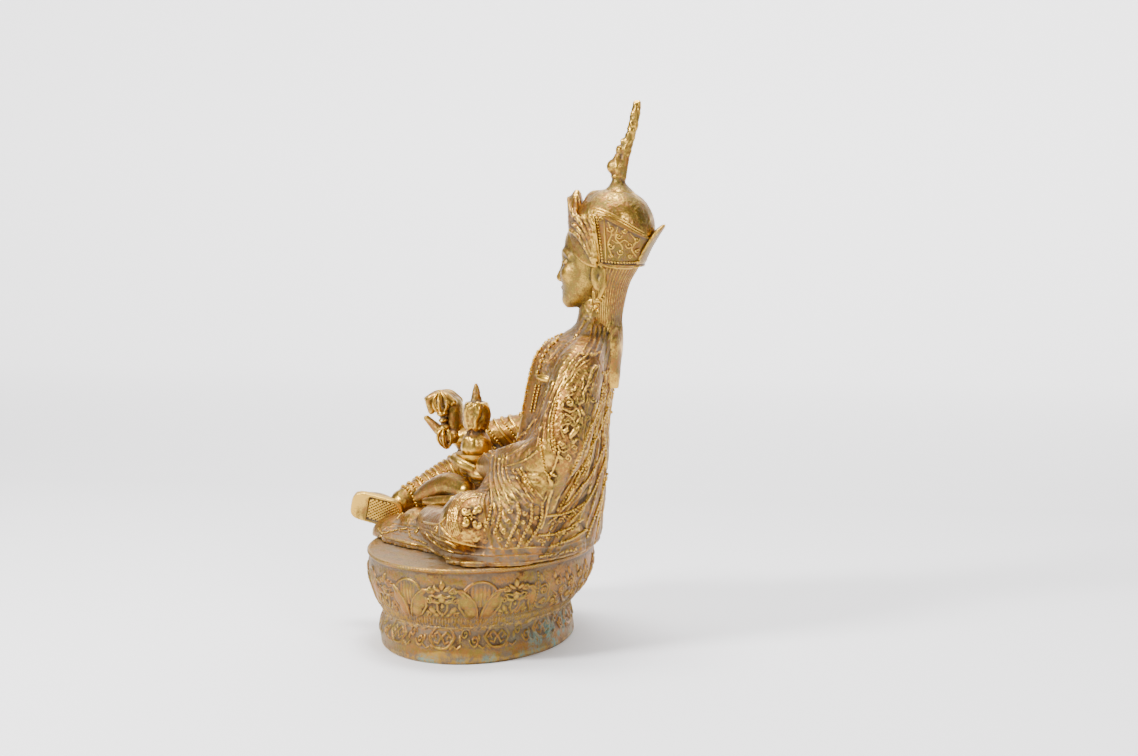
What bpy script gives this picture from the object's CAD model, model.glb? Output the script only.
"""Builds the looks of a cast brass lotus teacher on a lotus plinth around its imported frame.

The figure faces -Y, its left hand side is +X, and lengths in this file are millimetres until a mesh is
made. Soft forms are laid into a block of clay, a grid of distances, whose skin becomes the mesh.
"""

import math

import bpy
import numpy as np
from bpy.props import FloatProperty, FloatVectorProperty, IntProperty, PointerProperty
from bpy.types import Operator, Panel, PropertyGroup
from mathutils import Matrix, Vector
from mathutils.bvhtree import BVHTree


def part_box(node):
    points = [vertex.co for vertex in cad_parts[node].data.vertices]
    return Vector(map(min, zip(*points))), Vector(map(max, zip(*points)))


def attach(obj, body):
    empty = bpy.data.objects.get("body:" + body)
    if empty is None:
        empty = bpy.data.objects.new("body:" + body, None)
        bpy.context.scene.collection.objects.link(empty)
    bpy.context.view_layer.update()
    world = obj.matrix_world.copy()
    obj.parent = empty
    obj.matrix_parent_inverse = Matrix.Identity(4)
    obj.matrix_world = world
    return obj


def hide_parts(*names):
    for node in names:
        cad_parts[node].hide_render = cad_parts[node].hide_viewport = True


bl_info = {
    "name": "Lotus teacher statue",
    "version": (1, 0, 0),
    "blender": (4, 5, 0),
    "location": "View3D > Sidebar > Statue",
    "description": "Dresses the packed solids of a brass lotus teacher in its cast and worn surface",
    "category": "Object",
}

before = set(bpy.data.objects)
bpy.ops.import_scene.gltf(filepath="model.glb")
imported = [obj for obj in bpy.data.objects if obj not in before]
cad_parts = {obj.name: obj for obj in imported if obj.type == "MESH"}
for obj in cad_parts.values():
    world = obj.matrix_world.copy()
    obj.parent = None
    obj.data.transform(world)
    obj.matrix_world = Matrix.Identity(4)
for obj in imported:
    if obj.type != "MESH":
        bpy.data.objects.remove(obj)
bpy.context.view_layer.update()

MILLIMETRE = 0.001
PLINTH_TOP = [round(value / MILLIMETRE, 1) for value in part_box("plinth")[1]]
TAU = 2 * math.pi
FAR = 12.0
SEAT_LEVEL = PLINTH_TOP[2] + 0.3
PHOTO_SIZE = (1138, 756)
SIDES = (-1, 1)


# Sizes and colours that a user would change
class StatueSizes(PropertyGroup):
    """Sizes of the folds, the beads and the relief."""

    fold_count: IntProperty(
        name="Cloak folds",
        description="How many broad folds run round the cloak",
        default=15,
        min=8,
        max=24,
    )
    fold_depth: FloatProperty(
        name="Fold depth",
        description="How deep the cloak's folds are near its hem",
        default=1.6 * MILLIMETRE,
        min=0,
        max=3 * MILLIMETRE,
        precision=5,
        unit="LENGTH",
    )
    casting_grain: FloatProperty(
        name="Casting grain",
        description="How high the small lumps of the rough casting are",
        default=0.14 * MILLIMETRE,
        min=0,
        max=0.5 * MILLIMETRE,
        precision=5,
        unit="LENGTH",
    )
    bead_radius: FloatProperty(
        name="Bead radius",
        description="Radius of the beads in the rows on the robe",
        default=0.85 * MILLIMETRE,
        min=0.4 * MILLIMETRE,
        max=1.5 * MILLIMETRE,
        precision=5,
        unit="LENGTH",
    )
    bead_pitch: FloatProperty(
        name="Bead pitch",
        description="From the middle of one bead to the next",
        default=1.9 * MILLIMETRE,
        min=1 * MILLIMETRE,
        max=4 * MILLIMETRE,
        precision=5,
        unit="LENGTH",
    )
    petal_relief: FloatProperty(
        name="Petal relief",
        description="How far the plinth's petals and leaf work stand out",
        default=0.95 * MILLIMETRE,
        min=0,
        max=2 * MILLIMETRE,
        precision=5,
        unit="LENGTH",
    )
    foot_relief: FloatProperty(
        name="Foot relief",
        description="How far the medallions and scrolls of the plinth's foot stand out",
        default=0.85 * MILLIMETRE,
        min=0,
        max=2 * MILLIMETRE,
        precision=5,
        unit="LENGTH",
    )
    punch_depth: FloatProperty(
        name="Punched ground",
        description="How rough the plinth is between its petals and leaves",
        default=0.11 * MILLIMETRE,
        min=0,
        max=0.4 * MILLIMETRE,
        precision=5,
        unit="LENGTH",
    )


class StatueFinish(PropertyGroup):
    """Colours of the brass, from its polished high places to the dirt in its hollows."""

    polished: FloatVectorProperty(
        name="Polished brass",
        description="High places that hands have polished",
        default=(0.62, 0.365, 0.06),
        min=0,
        max=1,
        size=3,
        subtype="COLOR",
    )
    coppery: FloatVectorProperty(
        name="Coppery stain",
        description="Red-brown stain on the smooth places",
        default=(0.29, 0.125, 0.03),
        min=0,
        max=1,
        size=3,
        subtype="COLOR",
    )
    olive: FloatVectorProperty(
        name="Olive stain",
        description="Green-brown stain on the smooth places",
        default=(0.2, 0.135, 0.03),
        min=0,
        max=1,
        size=3,
        subtype="COLOR",
    )
    tarnish: FloatVectorProperty(
        name="Tarnish",
        description="Dark brown in the deepest hollows",
        default=(0.03, 0.014, 0.007),
        min=0,
        max=1,
        size=3,
        subtype="COLOR",
    )
    dirt: FloatVectorProperty(
        name="Dirt",
        description="Grey dust that has settled in the hollows",
        default=(0.155, 0.105, 0.058),
        min=0,
        max=1,
        size=3,
        subtype="COLOR",
    )
    verdigris: FloatVectorProperty(
        name="Verdigris",
        description="Green crust low on the plinth",
        default=(0.13, 0.27, 0.23),
        min=0,
        max=1,
        size=3,
        subtype="COLOR",
    )
    pitting: FloatProperty(
        name="Pitting",
        description="How strongly the finest pits of the casting show",
        default=0.5,
        min=0,
        max=1,
        subtype="FACTOR",
    )


class StatueStage(PropertyGroup):
    """The floor and the light."""

    floor_colour: FloatVectorProperty(
        name="Floor",
        description="Colour of the floor and the backdrop",
        default=(0.93, 0.92, 0.93),
        min=0,
        max=1,
        size=3,
        subtype="COLOR",
    )
    room_light: FloatProperty(
        name="Room light",
        description="Strength of the even light from all sides",
        default=0.12,
        min=0,
        max=3,
    )
    lamp_share: FloatProperty(
        name="Lamps",
        description="Power of all the lamps as a share of what was set for the photograph's view",
        default=1,
        min=0,
        max=4,
        subtype="FACTOR",
    )


def length(name):
    """One of the user's sizes, in millimetres."""
    return getattr(bpy.context.scene.statue_sizes, name) / MILLIMETRE


def colour(name):
    """One of the user's finish colours."""
    return tuple(getattr(bpy.context.scene.statue_finish, name))


# Small curves
def ease(x, low, high):
    """0 below low, 1 above high, and a soft step between them."""
    share = np.clip((x - low) / (high - low), 0, 1)
    return share * share * (3 - 2 * share)


def bell(x, middle, width):
    return np.exp(-(((x - middle) / width) ** 2))


def ridge(phase):
    """1 on whole phases and 0 halfway between them."""
    return 0.5 + 0.5 * np.cos(TAU * phase)


def cloth_fold(phase):
    """Round crests on whole phases, with narrow valleys between them."""
    return np.abs(np.cos(np.pi * phase)) ** 0.65


def softened(rows, steps=6):
    """Rows of [station, values...] with more rows between them, on a curve with no overshoot."""
    rows = np.asarray(rows, float)
    station, values = rows[:, 0], rows[:, 1:]
    change = np.diff(values, axis=0) / np.diff(station)[:, None]
    slope = np.zeros_like(values)
    slope[0], slope[-1] = change[0], change[-1]
    same = change[:-1] * change[1:] > 0
    mean = 2 * change[:-1] * change[1:] / np.where(same, change[:-1] + change[1:], 1)
    slope[1:-1] = np.where(same, mean, 0)
    share = np.linspace(0, 1, steps, endpoint=False)[:, None]
    made = []
    for k, gap in enumerate(np.diff(station)):
        low, high = values[k], values[k + 1]
        rise_low, rise_high = slope[k] * gap, slope[k + 1] * gap
        square, cube = share**2, share**3
        row = (
            (2 * cube - 3 * square + 1) * low
            + (cube - 2 * square + share) * rise_low
            + (3 * square - 2 * cube) * high
            + (cube - square) * rise_high
        )
        made.append(np.hstack([station[k] + share * gap, row]))
    return np.vstack([*made, rows[-1:]])


def curve_through(points, steps=6):
    """Points on a smooth curve through the given ones."""
    points = np.asarray(points, float)
    if len(points) == 2:
        share = np.linspace(0, 1, steps + 1)[:, None]
        return points[0] * (1 - share) + points[1] * share
    padded = np.vstack([2 * points[0] - points[1], points, 2 * points[-1] - points[-2]])
    t = np.linspace(0, 1, steps, endpoint=False)[:, None]
    made = []
    for k in range(len(points) - 1):
        a, b, c, d = padded[k : k + 4]
        made.append(
            0.5 * (2 * b + (c - a) * t + (2 * a - 5 * b + 4 * c - d) * t**2 + (3 * b - a - 3 * c + d) * t**3)
        )
    return np.vstack([*made, points[-1:]])


def evenly(line, gap):
    """Points at even steps of about the given gap along a line."""
    line = np.asarray(line, float)
    lengths = np.linalg.norm(np.diff(line, axis=0), axis=1)
    travelled = np.concatenate([[0], np.cumsum(lengths)])
    count = max(1, round(travelled[-1] / gap))
    stations = np.linspace(0, travelled[-1], count + 1)
    return np.stack([np.interp(stations, travelled, line[:, k]) for k in range(line.shape[1])], axis=1)


def turn_matrix(degrees):
    """The matrix of turns about X, then Y, then Z."""
    (cx, sx), (cy, sy), (cz, sz) = ((math.cos(math.radians(a)), math.sin(math.radians(a))) for a in degrees)
    about_x = np.array([[1, 0, 0], [0, cx, -sx], [0, sx, cx]])
    about_y = np.array([[cy, 0, sy], [0, 1, 0], [-sy, 0, cy]])
    about_z = np.array([[cz, -sz, 0], [sz, cz, 0], [0, 0, 1]])
    return about_z @ about_y @ about_x


LATTICE = np.random.default_rng(7).uniform(-1, 1, (24, 24, 24))


def grain(points, size):
    """Smooth noise from -1 to 1 with lumps of about the given size."""
    place = points / size + 100.0
    cell = np.floor(place).astype(int)
    share = place - cell
    share = share * share * (3 - 2 * share)
    total = np.zeros(len(points))
    for corner in np.ndindex(2, 2, 2):
        step = np.array(corner)
        weight = np.prod(np.where(step, share, 1 - share), axis=1)
        i, j, k = ((cell + step) % 24).T
        total += weight * LATTICE[i, j, k]
    return total


# Clay: forms on a grid of distances
class Form:
    """A shape with the box that holds it. distance(x, y, z) is negative inside."""

    def __init__(self, low, high, distance):
        self.low = np.asarray(low, float)
        self.high = np.asarray(high, float)
        self.distance = distance


def oval_column(rows, fold=None):
    """An upright form of oval rings, from [level, middle x, middle y, half width, half depth] rows."""
    table = softened(rows)

    def distance(x, y, z):
        middle_x, middle_y, half_width, half_depth = (
            np.interp(z, table[:, 0], table[:, k]).astype(np.float32) for k in range(1, 5)
        )
        across, along = x - middle_x, y - middle_y
        share = np.sqrt((across / half_width) ** 2 + (along / half_depth) ** 2)
        reach = np.sqrt(across**2 + along**2)
        out = reach * (1 - 1 / np.maximum(share, 0.05))
        if fold:
            out = out - fold(np.arctan2(along / half_depth, across / half_width), z)
        return np.maximum(out, np.maximum(table[0, 0] - z, z - table[-1, 0]))

    low = [np.min(table[:, k] - table[:, k + 2]) - 3 for k in (1, 2)] + [table[0, 0]]
    high = [np.max(table[:, k] + table[:, k + 2]) + 3 for k in (1, 2)] + [table[-1, 0]]
    return Form(low, high, distance)


def limb(stations, steps=9, flat=None):
    """A round limb through [x, y, z, radius] stations. flat is a direction and the share it is squeezed to."""
    path = curve_through(stations, steps)
    low = np.min(path[:, :3] - path[:, 3:], axis=0)
    high = np.max(path[:, :3] + path[:, 3:], axis=0)

    def distance(x, y, z):
        nearest = np.full(np.broadcast_shapes(x.shape, y.shape, z.shape), FAR, np.float32)
        reach = FAR / 2
        for start, end in zip(path[:-1], path[1:]):
            spans = []
            for values, k in ((x, 0), (y, 1), (z, 2)):
                flatly = values.ravel()
                below = min(start[k] - start[3], end[k] - end[3]) - reach
                above = max(start[k] + start[3], end[k] + end[3]) + reach
                spans.append(slice(np.searchsorted(flatly, below), np.searchsorted(flatly, above)))
            px, py, pz = x[spans[0]] - start[0], y[:, spans[1]] - start[1], z[:, :, spans[2]] - start[2]
            if 0 in (px.size, py.size, pz.size):
                continue
            way = end[:3] - start[:3]
            share = np.clip((px * way[0] + py * way[1] + pz * way[2]) / (way @ way), 0, 1)
            gaps = [px - share * way[0], py - share * way[1], pz - share * way[2]]
            square = gaps[0] ** 2 + gaps[1] ** 2 + gaps[2] ** 2
            if flat:
                direction, squeeze = np.array(flat[0]) / np.linalg.norm(flat[0]), flat[1]
                lift = gaps[0] * direction[0] + gaps[1] * direction[1] + gaps[2] * direction[2]
                square = square + lift**2 * (1 / squeeze**2 - 1)
            away = np.sqrt(square) - (start[3] + share * (end[3] - start[3]))
            held = nearest[tuple(spans)]
            np.minimum(held, away, out=held)
        return nearest

    return Form(low, high, distance)


def pebble(middle, radii, turn=(0, 0, 0), fold=None):
    """An ellipsoid with radii [x, y, z], turned about X, Y and Z in degrees."""
    axes = turn_matrix(turn)
    radii = np.asarray(radii, float)
    half = np.sqrt(((axes * radii) ** 2).sum(axis=1)) + 2
    middle = np.asarray(middle, float)

    def distance(x, y, z):
        px, py, pz = x - middle[0], y - middle[1], z - middle[2]
        u, v, w = (px * axes[0, k] + py * axes[1, k] + pz * axes[2, k] for k in range(3))
        near = np.sqrt((u / radii[0]) ** 2 + (v / radii[1]) ** 2 + (w / radii[2]) ** 2)
        steep = np.sqrt((u / radii[0] ** 2) ** 2 + (v / radii[1] ** 2) ** 2 + (w / radii[2] ** 2) ** 2)
        out = near * (near - 1) / np.maximum(steep, 1e-4)
        if fold:
            out = out - fold(u, v, w)
        return out

    return Form(middle - half, middle + half, distance)


def slab(place, half_sizes, turn=(0, 0, 0), corner=1.0):
    """A box with rounded edges."""
    axes = turn_matrix(turn)
    place = np.asarray(place, float)
    sizes = np.asarray(half_sizes, float) - corner
    half = np.abs(axes) @ (sizes + corner)

    def distance(x, y, z):
        px, py, pz = x - place[0], y - place[1], z - place[2]
        u, v, w = (np.abs(px * axes[0, k] + py * axes[1, k] + pz * axes[2, k]) - sizes[k] for k in range(3))
        outer = np.sqrt(np.maximum(u, 0) ** 2 + np.maximum(v, 0) ** 2 + np.maximum(w, 0) ** 2)
        return outer + np.minimum(np.maximum(u, np.maximum(v, w)), 0) - corner

    return Form(place - half, place + half, distance)


class Clay:
    """A block of space on a regular grid, to which forms are added and from which they are cut."""

    def __init__(self, low, high, step):
        self.step = step
        self.axes = [np.arange(a, b + step, step, dtype=np.float32) for a, b in zip(low, high)]
        self.depth = np.full([len(axis) for axis in self.axes], FAR, np.float32)

    def window(self, form, margin):
        spans = tuple(
            slice(np.searchsorted(axis, a - margin), np.searchsorted(axis, b + margin))
            for axis, a, b in zip(self.axes, form.low, form.high)
        )
        x, y, z = (axis[span] for axis, span in zip(self.axes, spans))
        return spans, x[:, None, None], y[None, :, None], z[None, None, :]

    def add(self, form, blend=1.0):
        spans, x, y, z = self.window(form, 2 + blend)
        held = self.depth[spans]
        if held.size == 0:
            return
        new = form.distance(x, y, z)
        overlap = np.maximum(blend - np.abs(held - new), 0)
        self.depth[spans] = np.minimum(held, new) - overlap**2 / (4 * blend)

    def cut(self, form, blend=0.5):
        spans, x, y, z = self.window(form, 2 + blend)
        held = self.depth[spans]
        if held.size == 0:
            return
        new = -form.distance(x, y, z)
        overlap = np.maximum(blend - np.abs(held - new), 0)
        self.depth[spans] = np.maximum(held, new) + overlap**2 / (4 * blend)

    def floor_at(self, level):
        """Cuts off what is below a level."""
        self.depth = np.maximum(self.depth, level - self.axes[2][None, None, :])

    def lid_at(self, level, tuck_from):
        """Cuts off what is above a level, and draws the skin in a little above tuck_from."""
        z = self.axes[2][None, None, :]
        self.depth = np.maximum(self.depth + 0.15 * ease(z, tuck_from - 0.6, tuck_from + 0.4), z - level)

    def skin(self):
        """Points and quads of the surface where the distance changes sign."""
        for k in range(3):
            edge = [slice(None)] * 3
            for side in (0, -1):
                edge[k] = side
                self.depth[tuple(edge)] = np.maximum(self.depth[tuple(edge)], 0.01)
        depth = self.depth
        inside = depth < 0
        count = np.zeros([n - 1 for n in depth.shape], np.int8)
        for corner in np.ndindex(2, 2, 2):
            count += inside[tuple(slice(c, c + n) for c, n in zip(corner, count.shape))]
        active = (count > 0) & (count < 8)
        cells = np.argwhere(active)
        index = np.full(active.shape, -1, np.int64)
        index[active] = np.arange(len(cells))
        total = np.zeros((len(cells), 3))
        hits = np.zeros(len(cells))
        for axis in range(3):
            for corner in np.ndindex(2, 2):
                start = np.insert(np.array(corner), axis, 0)
                end = np.insert(np.array(corner), axis, 1)
                low = depth[tuple((cells + start).T)]
                high = depth[tuple((cells + end).T)]
                crossed = (low < 0) != (high < 0)
                share = low[crossed] / (low[crossed] - high[crossed])
                total[crossed] += start + share[:, None] * (end - start)
                hits[crossed] += 1
        points = (cells + total / hits[:, None]) * self.step + [axis[0] for axis in self.axes]
        faces = []
        for axis in range(3):
            before = [slice(None)] * 3
            after = [slice(None)] * 3
            before[axis], after[axis] = slice(None, -1), slice(1, None)
            changes = np.argwhere(inside[tuple(before)] != inside[tuple(after)])
            u, v = (axis + 1) % 3, (axis + 2) % 3
            step_u, step_v = np.eye(3, dtype=int)[u], np.eye(3, dtype=int)[v]
            around = [changes, changes - step_u, changes - step_u - step_v, changes - step_v]
            quad = np.stack([index[tuple(place.T)] for place in around], axis=1)
            flip = ~inside[tuple(changes.T)]
            quad[flip] = quad[flip][:, ::-1]
            faces.append(quad)
        return Shell(points, np.vstack(faces))


# Shells: meshes before they become objects
def face_normals(points, faces):
    if faces.shape[1] == 4:
        a, b, c, d = (points[faces[:, k]] for k in range(4))
        return np.cross(c - a, d - b)
    a, b, c = (points[faces[:, k]] for k in range(3))
    return np.cross(b - a, c - a)


class Shell:
    """A mesh in millimetres, as points and faces with equal numbers of corners."""

    def __init__(self, points, faces):
        self.points = np.asarray(points, float)
        self.faces = np.asarray(faces, int)

    def normals(self):
        across = face_normals(self.points, self.faces)
        total = np.stack(
            [
                sum(
                    np.bincount(self.faces[:, c], across[:, k], len(self.points))
                    for c in range(self.faces.shape[1])
                )
                for k in range(3)
            ],
            axis=1,
        )
        return total / np.maximum(np.linalg.norm(total, axis=1, keepdims=True), 1e-9)

    def press(self, height, normals=None):
        """Moves each point out by its height."""
        normals = self.normals() if normals is None else normals
        self.points = self.points + normals * np.asarray(height)[:, None]

    def nearness(self, line, width):
        """1 on a line, falling to 0 at the width from it, for each point."""
        line = np.asarray(line, float)
        inside = np.all((self.points > line.min(axis=0) - width) & (self.points < line.max(axis=0) + width), axis=1)
        chosen = np.flatnonzero(inside)
        result = np.zeros(len(self.points))
        if len(chosen) == 0:
            return result
        points = self.points[chosen]
        best = np.full(len(chosen), width * 1.0)
        for start, end in zip(line[:-1], line[1:]):
            way = end - start
            share = np.clip(((points - start) @ way) / max(way @ way, 1e-9), 0, 1)
            best = np.minimum(best, np.linalg.norm(points - start - share[:, None] * way, axis=1))
        result[chosen] = 1 - best / width
        return result


def joined(shells):
    """Several shells as one."""
    starts = np.cumsum([0] + [len(shell.points) for shell in shells[:-1]])
    faces = [shell.faces + start for shell, start in zip(shells, starts)]
    return Shell(np.vstack([shell.points for shell in shells]), np.vstack(faces))


def lathe(profile, around, middle, turn=(0, 0, 0), flute=None):
    """A turned shell from [radius, height] pairs, on the axis at both ends. flute(angle, height) adds relief."""
    profile = np.asarray(profile, float)
    angles = np.arange(around) * TAU / around
    rings = []
    for radius, height in profile[1:-1]:
        reach = radius + (flute(angles, height) if flute else 0)
        rings.append(np.stack([reach * np.cos(angles), reach * np.sin(angles), np.full(around, height)], axis=1))
    points = np.vstack([*rings, [[0, 0, profile[0][1]]], [[0, 0, profile[-1][1]]]])
    faces = band_faces(len(rings), around)
    last = (len(rings) - 1) * around
    bottom, top = len(points) - 2, len(points) - 1
    following = (np.arange(around) + 1) % around
    caps = [[following[k], k, bottom, bottom] for k in range(around)]
    caps += [[last + k, last + following[k], top, top] for k in range(around)]
    return Shell(points @ turn_matrix(turn).T + np.asarray(middle, float), np.vstack([faces, caps]))


def band_faces(rings, around):
    """Quads between rings of points that each close on themselves."""
    row = np.arange(rings - 1)[:, None] * around
    column = np.arange(around)[None, :]
    following = (column + 1) % around
    corners = [row + column, row + following, row + around + following, row + around + column]
    return np.stack([np.broadcast_to(c, (rings - 1, around)).ravel() for c in corners], axis=1)


def tube(line, radius, sides=6, taper=None):
    """A thin tube along a line, closed at its ends."""
    line = np.asarray(line, float)
    count = len(line)
    tangent = np.gradient(line, axis=0)
    tangent /= np.maximum(np.linalg.norm(tangent, axis=1, keepdims=True), 1e-9)
    side = np.cross(tangent[0], [0.3, 0.2, 0.9])
    side /= np.linalg.norm(side)
    radii = np.full(count, radius) if taper is None else radius * taper(np.linspace(0, 1, count))
    angles = np.arange(sides) * TAU / sides
    points = []
    for k in range(count):
        side = side - tangent[k] * (side @ tangent[k])
        side /= np.linalg.norm(side)
        other = np.cross(tangent[k], side)
        points.append(line[k] + radii[k] * (np.cos(angles)[:, None] * side + np.sin(angles)[:, None] * other))
    points = np.vstack([*points, line[:1] - tangent[:1] * radii[0] * 0.6, line[-1:] + tangent[-1:] * radii[-1] * 0.6])
    first, last = len(points) - 2, len(points) - 1
    following = (np.arange(sides) + 1) % sides
    end = (count - 1) * sides
    caps = [[following[k], k, first, first] for k in range(sides)]
    caps += [[end + k, end + following[k], last, last] for k in range(sides)]
    return Shell(points, np.vstack([band_faces(count, sides), caps]))


# Objects
SHARP_ANGLE = math.radians(62)


def make_object(shell, name, node, limit=None):
    """A shell as an object that rides on the statue and stands for a node."""
    mesh = bpy.data.meshes.new(name)
    faces = shell.faces
    if faces.shape[1] == 4 and np.any(faces[:, 2] == faces[:, 3]):
        faces = [list(face[:3]) if face[2] == face[3] else list(face) for face in faces.tolist()]
    mesh.from_pydata(shell.points * MILLIMETRE, [], faces)
    mesh.update()
    made = bpy.data.objects.new(name, mesh)
    bpy.context.scene.collection.objects.link(made)
    if limit:
        thin_out(made, limit)
    made.data.shade_smooth()
    made.data.set_sharp_from_angle(angle=SHARP_ANGLE)
    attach(made, "root")
    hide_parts(node)
    return made


def triangle_count(mesh):
    totals = np.empty(len(mesh.polygons), np.int32)
    mesh.polygons.foreach_get("loop_total", totals)
    return int((totals - 2).sum())


def thin_out(made, limit):
    """Takes away the triangles that the form needs least, down to a limit."""
    count = triangle_count(made.data)
    if count <= limit:
        return
    modifier = made.modifiers.new("thin", "DECIMATE")
    modifier.ratio = limit / count
    modifier.use_collapse_triangulate = True
    fewer = bpy.data.meshes.new_from_object(made.evaluated_get(bpy.context.evaluated_depsgraph_get()))
    made.modifiers.clear()
    made.data = fewer
    fewer.name = made.name


def mesh_points(mesh):
    points = np.empty(len(mesh.vertices) * 3, np.float32)
    mesh.vertices.foreach_get("co", points)
    return points.reshape(-1, 3).astype(float) / MILLIMETRE


def mark_hollows(made, fine=3, broad=24, cut=None):
    """Stores how deep each point lies in a hollow, as attributes for the finish.

    The edge at the level of a cut isn't part of the form, so it counts as neither high nor low.
    """
    mesh = made.data
    points = mesh_points(mesh)
    edges = np.empty(len(mesh.edges) * 2, np.int32)
    mesh.edges.foreach_get("vertices", edges)
    first, second = edges.reshape(-1, 2).T
    degree = np.bincount(first, minlength=len(points)) + np.bincount(second, minlength=len(points))
    normals = np.empty(len(points) * 3, np.float32)
    mesh.vertex_normals.foreach_get("vector", normals)
    normals = normals.reshape(-1, 3)
    smooth = points.copy()
    depths = {}
    for turn in range(1, broad + 1):
        total = np.stack(
            [
                np.bincount(first, smooth[second, k], len(points)) + np.bincount(second, smooth[first, k], len(points))
                for k in range(3)
            ],
            axis=1,
        )
        smooth = 0.25 * smooth + 0.75 * total / np.maximum(degree, 1)[:, None]
        if turn in (fine, broad):
            depths[turn] = ((smooth - points) * normals).sum(axis=1)
    for name, turn in (("hollow_fine", fine), ("hollow_broad", broad)):
        if cut is not None:
            depths[turn] *= ease(np.abs(points[:, 2] - cut), 0.6, 3)
        attribute = mesh.attributes.new(name, "FLOAT", "POINT")
        attribute.data.foreach_set("value", depths[turn].astype(np.float32))


# Flat ornament, drawn across (x) and up (z) in millimetres, as heights from 0 to 1
def dab(x, z, middle, half, turn=0.0):
    """A rounded leaf or boss: 1 at its middle and 0 at its edge."""
    c, s = math.cos(math.radians(turn)), math.sin(math.radians(turn))
    u, v = x - middle[0], z - middle[1]
    square = ((u * c + v * s) / half[0]) ** 2 + ((v * c - u * s) / half[1]) ** 2
    return np.sqrt(np.maximum(0, 1 - square))


def stroke(x, z, line, width, taper=0.0):
    """A rounded ridge along a line, thinner towards its end by the taper."""
    best = np.zeros(np.broadcast_shapes(x.shape, z.shape))
    line = np.asarray(line, float)
    for k, (start, end) in enumerate(zip(line[:-1], line[1:])):
        way = end - start
        u, v = x - start[0], z - start[1]
        share = np.clip((u * way[0] + v * way[1]) / max(way @ way, 1e-9), 0, 1)
        away = np.hypot(u - share * way[0], v - share * way[1])
        here = width * (1 - taper * (k + share) / (len(line) - 1))
        best = np.maximum(best, np.sqrt(np.maximum(0, 1 - (away / here) ** 2)) * here / width)
    return best


def spiral(middle, outer, inner=0.3, turns=1.4, start=0.0, hand=1):
    """The line of a curl that winds in to its middle."""
    share = np.linspace(0, 1, int(16 * turns) + 4)
    reach = outer + (inner - outer) * share**0.8
    angle = math.radians(start) + hand * TAU * turns * share
    return np.stack([middle[0] + reach * np.cos(angle), middle[1] + reach * np.sin(angle)], axis=1)


def stack(*heights):
    """Several heights laid over each other, the tallest on top."""
    return np.maximum.reduce(np.broadcast_arrays(*heights))


# The photograph's view, through which relief is drawn on what it shows
CAMERA_PLACE = (1020.0, 273.3, 249.0)
CAMERA_AIM = (-13.5, 50.5, 145.8)
FOCAL_PIXELS = 1883
SEEN_DEPTH = 5


def view_axes():
    """The view's right, up and forward directions."""
    forward = np.array(CAMERA_AIM) - CAMERA_PLACE
    forward /= np.linalg.norm(forward)
    right = np.cross(forward, (0, 0, 1))
    right /= np.linalg.norm(right)
    return right, np.cross(right, forward), forward


def between(first, last, count):
    """Lines spread evenly from one line of pixels to another, without the two themselves."""
    ends = [evenly(curve_through(line, 6), 1.0) for line in (first, last)]
    steps = max(len(end) for end in ends)
    share = np.linspace(0, 1, steps)
    start, stop = (
        np.stack([np.interp(share, np.linspace(0, 1, len(end)), end[:, k]) for k in (0, 1)], axis=1)
        for end in ends
    )
    return [start + (stop - start) * (k + 1) / (count + 1) for k in range(count)]


class Drawing:
    """Raised lines and leaves drawn over the photograph's view, then pressed into a shell.

    Pixels give the places, half widths are in pixels and heights in millimetres. Where mirror_behind is
    given, the right side behind that Y carries the same drawing as the left.
    """

    def __init__(self, shell, mirror_behind=None):
        self.shell = shell
        normals = shell.normals()
        flip = np.ones(len(shell.points))
        if mirror_behind is not None:
            flip[(shell.points[:, 0] < 0) & (shell.points[:, 1] > mirror_behind)] = -1
        turned = np.stack([flip, np.ones_like(flip), np.ones_like(flip)], axis=1)
        right, up, forward = view_axes()
        away = shell.points * turned - CAMERA_PLACE
        depth = away @ forward
        self.across = PHOTO_SIZE[0] / 2 + FOCAL_PIXELS * (away @ right) / depth
        self.down = PHOTO_SIZE[1] / 2 - FOCAL_PIXELS * (away @ up) / depth
        towards = -(normals * turned * away).sum(axis=1) / np.linalg.norm(away, axis=1)
        cell = (self.down / 2).astype(int) * PHOTO_SIZE[0] + (self.across / 2).astype(int)
        cell = np.where(flip < 0, cell + PHOTO_SIZE[0] * PHOTO_SIZE[1], cell)
        cell -= cell.min()
        nearest = np.full(cell.max() + 1, np.inf)
        np.minimum.at(nearest, cell, depth)
        seen = depth < nearest[cell] + SEEN_DEPTH
        self.facing = ease(towards, 0.04, 0.3) * seen
        self.height = np.zeros(len(depth))

    def lay(self, low, high, height, shape):
        """Raises the window from low to high by what shape(across, down) gives, from 0 to 1."""
        inside = np.flatnonzero(
            (self.across > low[0]) & (self.across < high[0]) & (self.down > low[1]) & (self.down < high[1])
        )
        raised = height * shape(self.across[inside], self.down[inside])
        held = self.height[inside]
        self.height[inside] = np.maximum(held, raised) if height > 0 else held + raised

    def line(self, pixels, half_width, height, taper=0.5):
        line = curve_through(pixels, 5)
        low, high = line.min(axis=0) - half_width, line.max(axis=0) + half_width
        self.lay(low, high, height, lambda x, z: stroke(x, z, line, half_width, taper))

    def curl(self, pixel, outer, turns=1.3, start=0.0, hand=1, half_width=1.0, height=0.7):
        self.line(spiral(pixel, outer, 0.3, turns, start, hand)[::2], half_width, height, 0.2)

    def leaf(self, start, end, half_width, height):
        start, end = np.array(start), np.array(end)
        middle, way = (start + end) / 2, end - start
        reach = max(np.linalg.norm(way) / 2, half_width)
        turn = math.degrees(math.atan2(way[1], way[0]))
        self.lay(
            middle - reach - 1, middle + reach + 1, height, lambda x, z: dab(x, z, middle, (reach, half_width), turn)
        )

    def press(self):
        uneven = 1 + 0.35 * grain(self.shell.points, 1.5)
        self.shell.press(self.height * self.facing * uneven)


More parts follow.
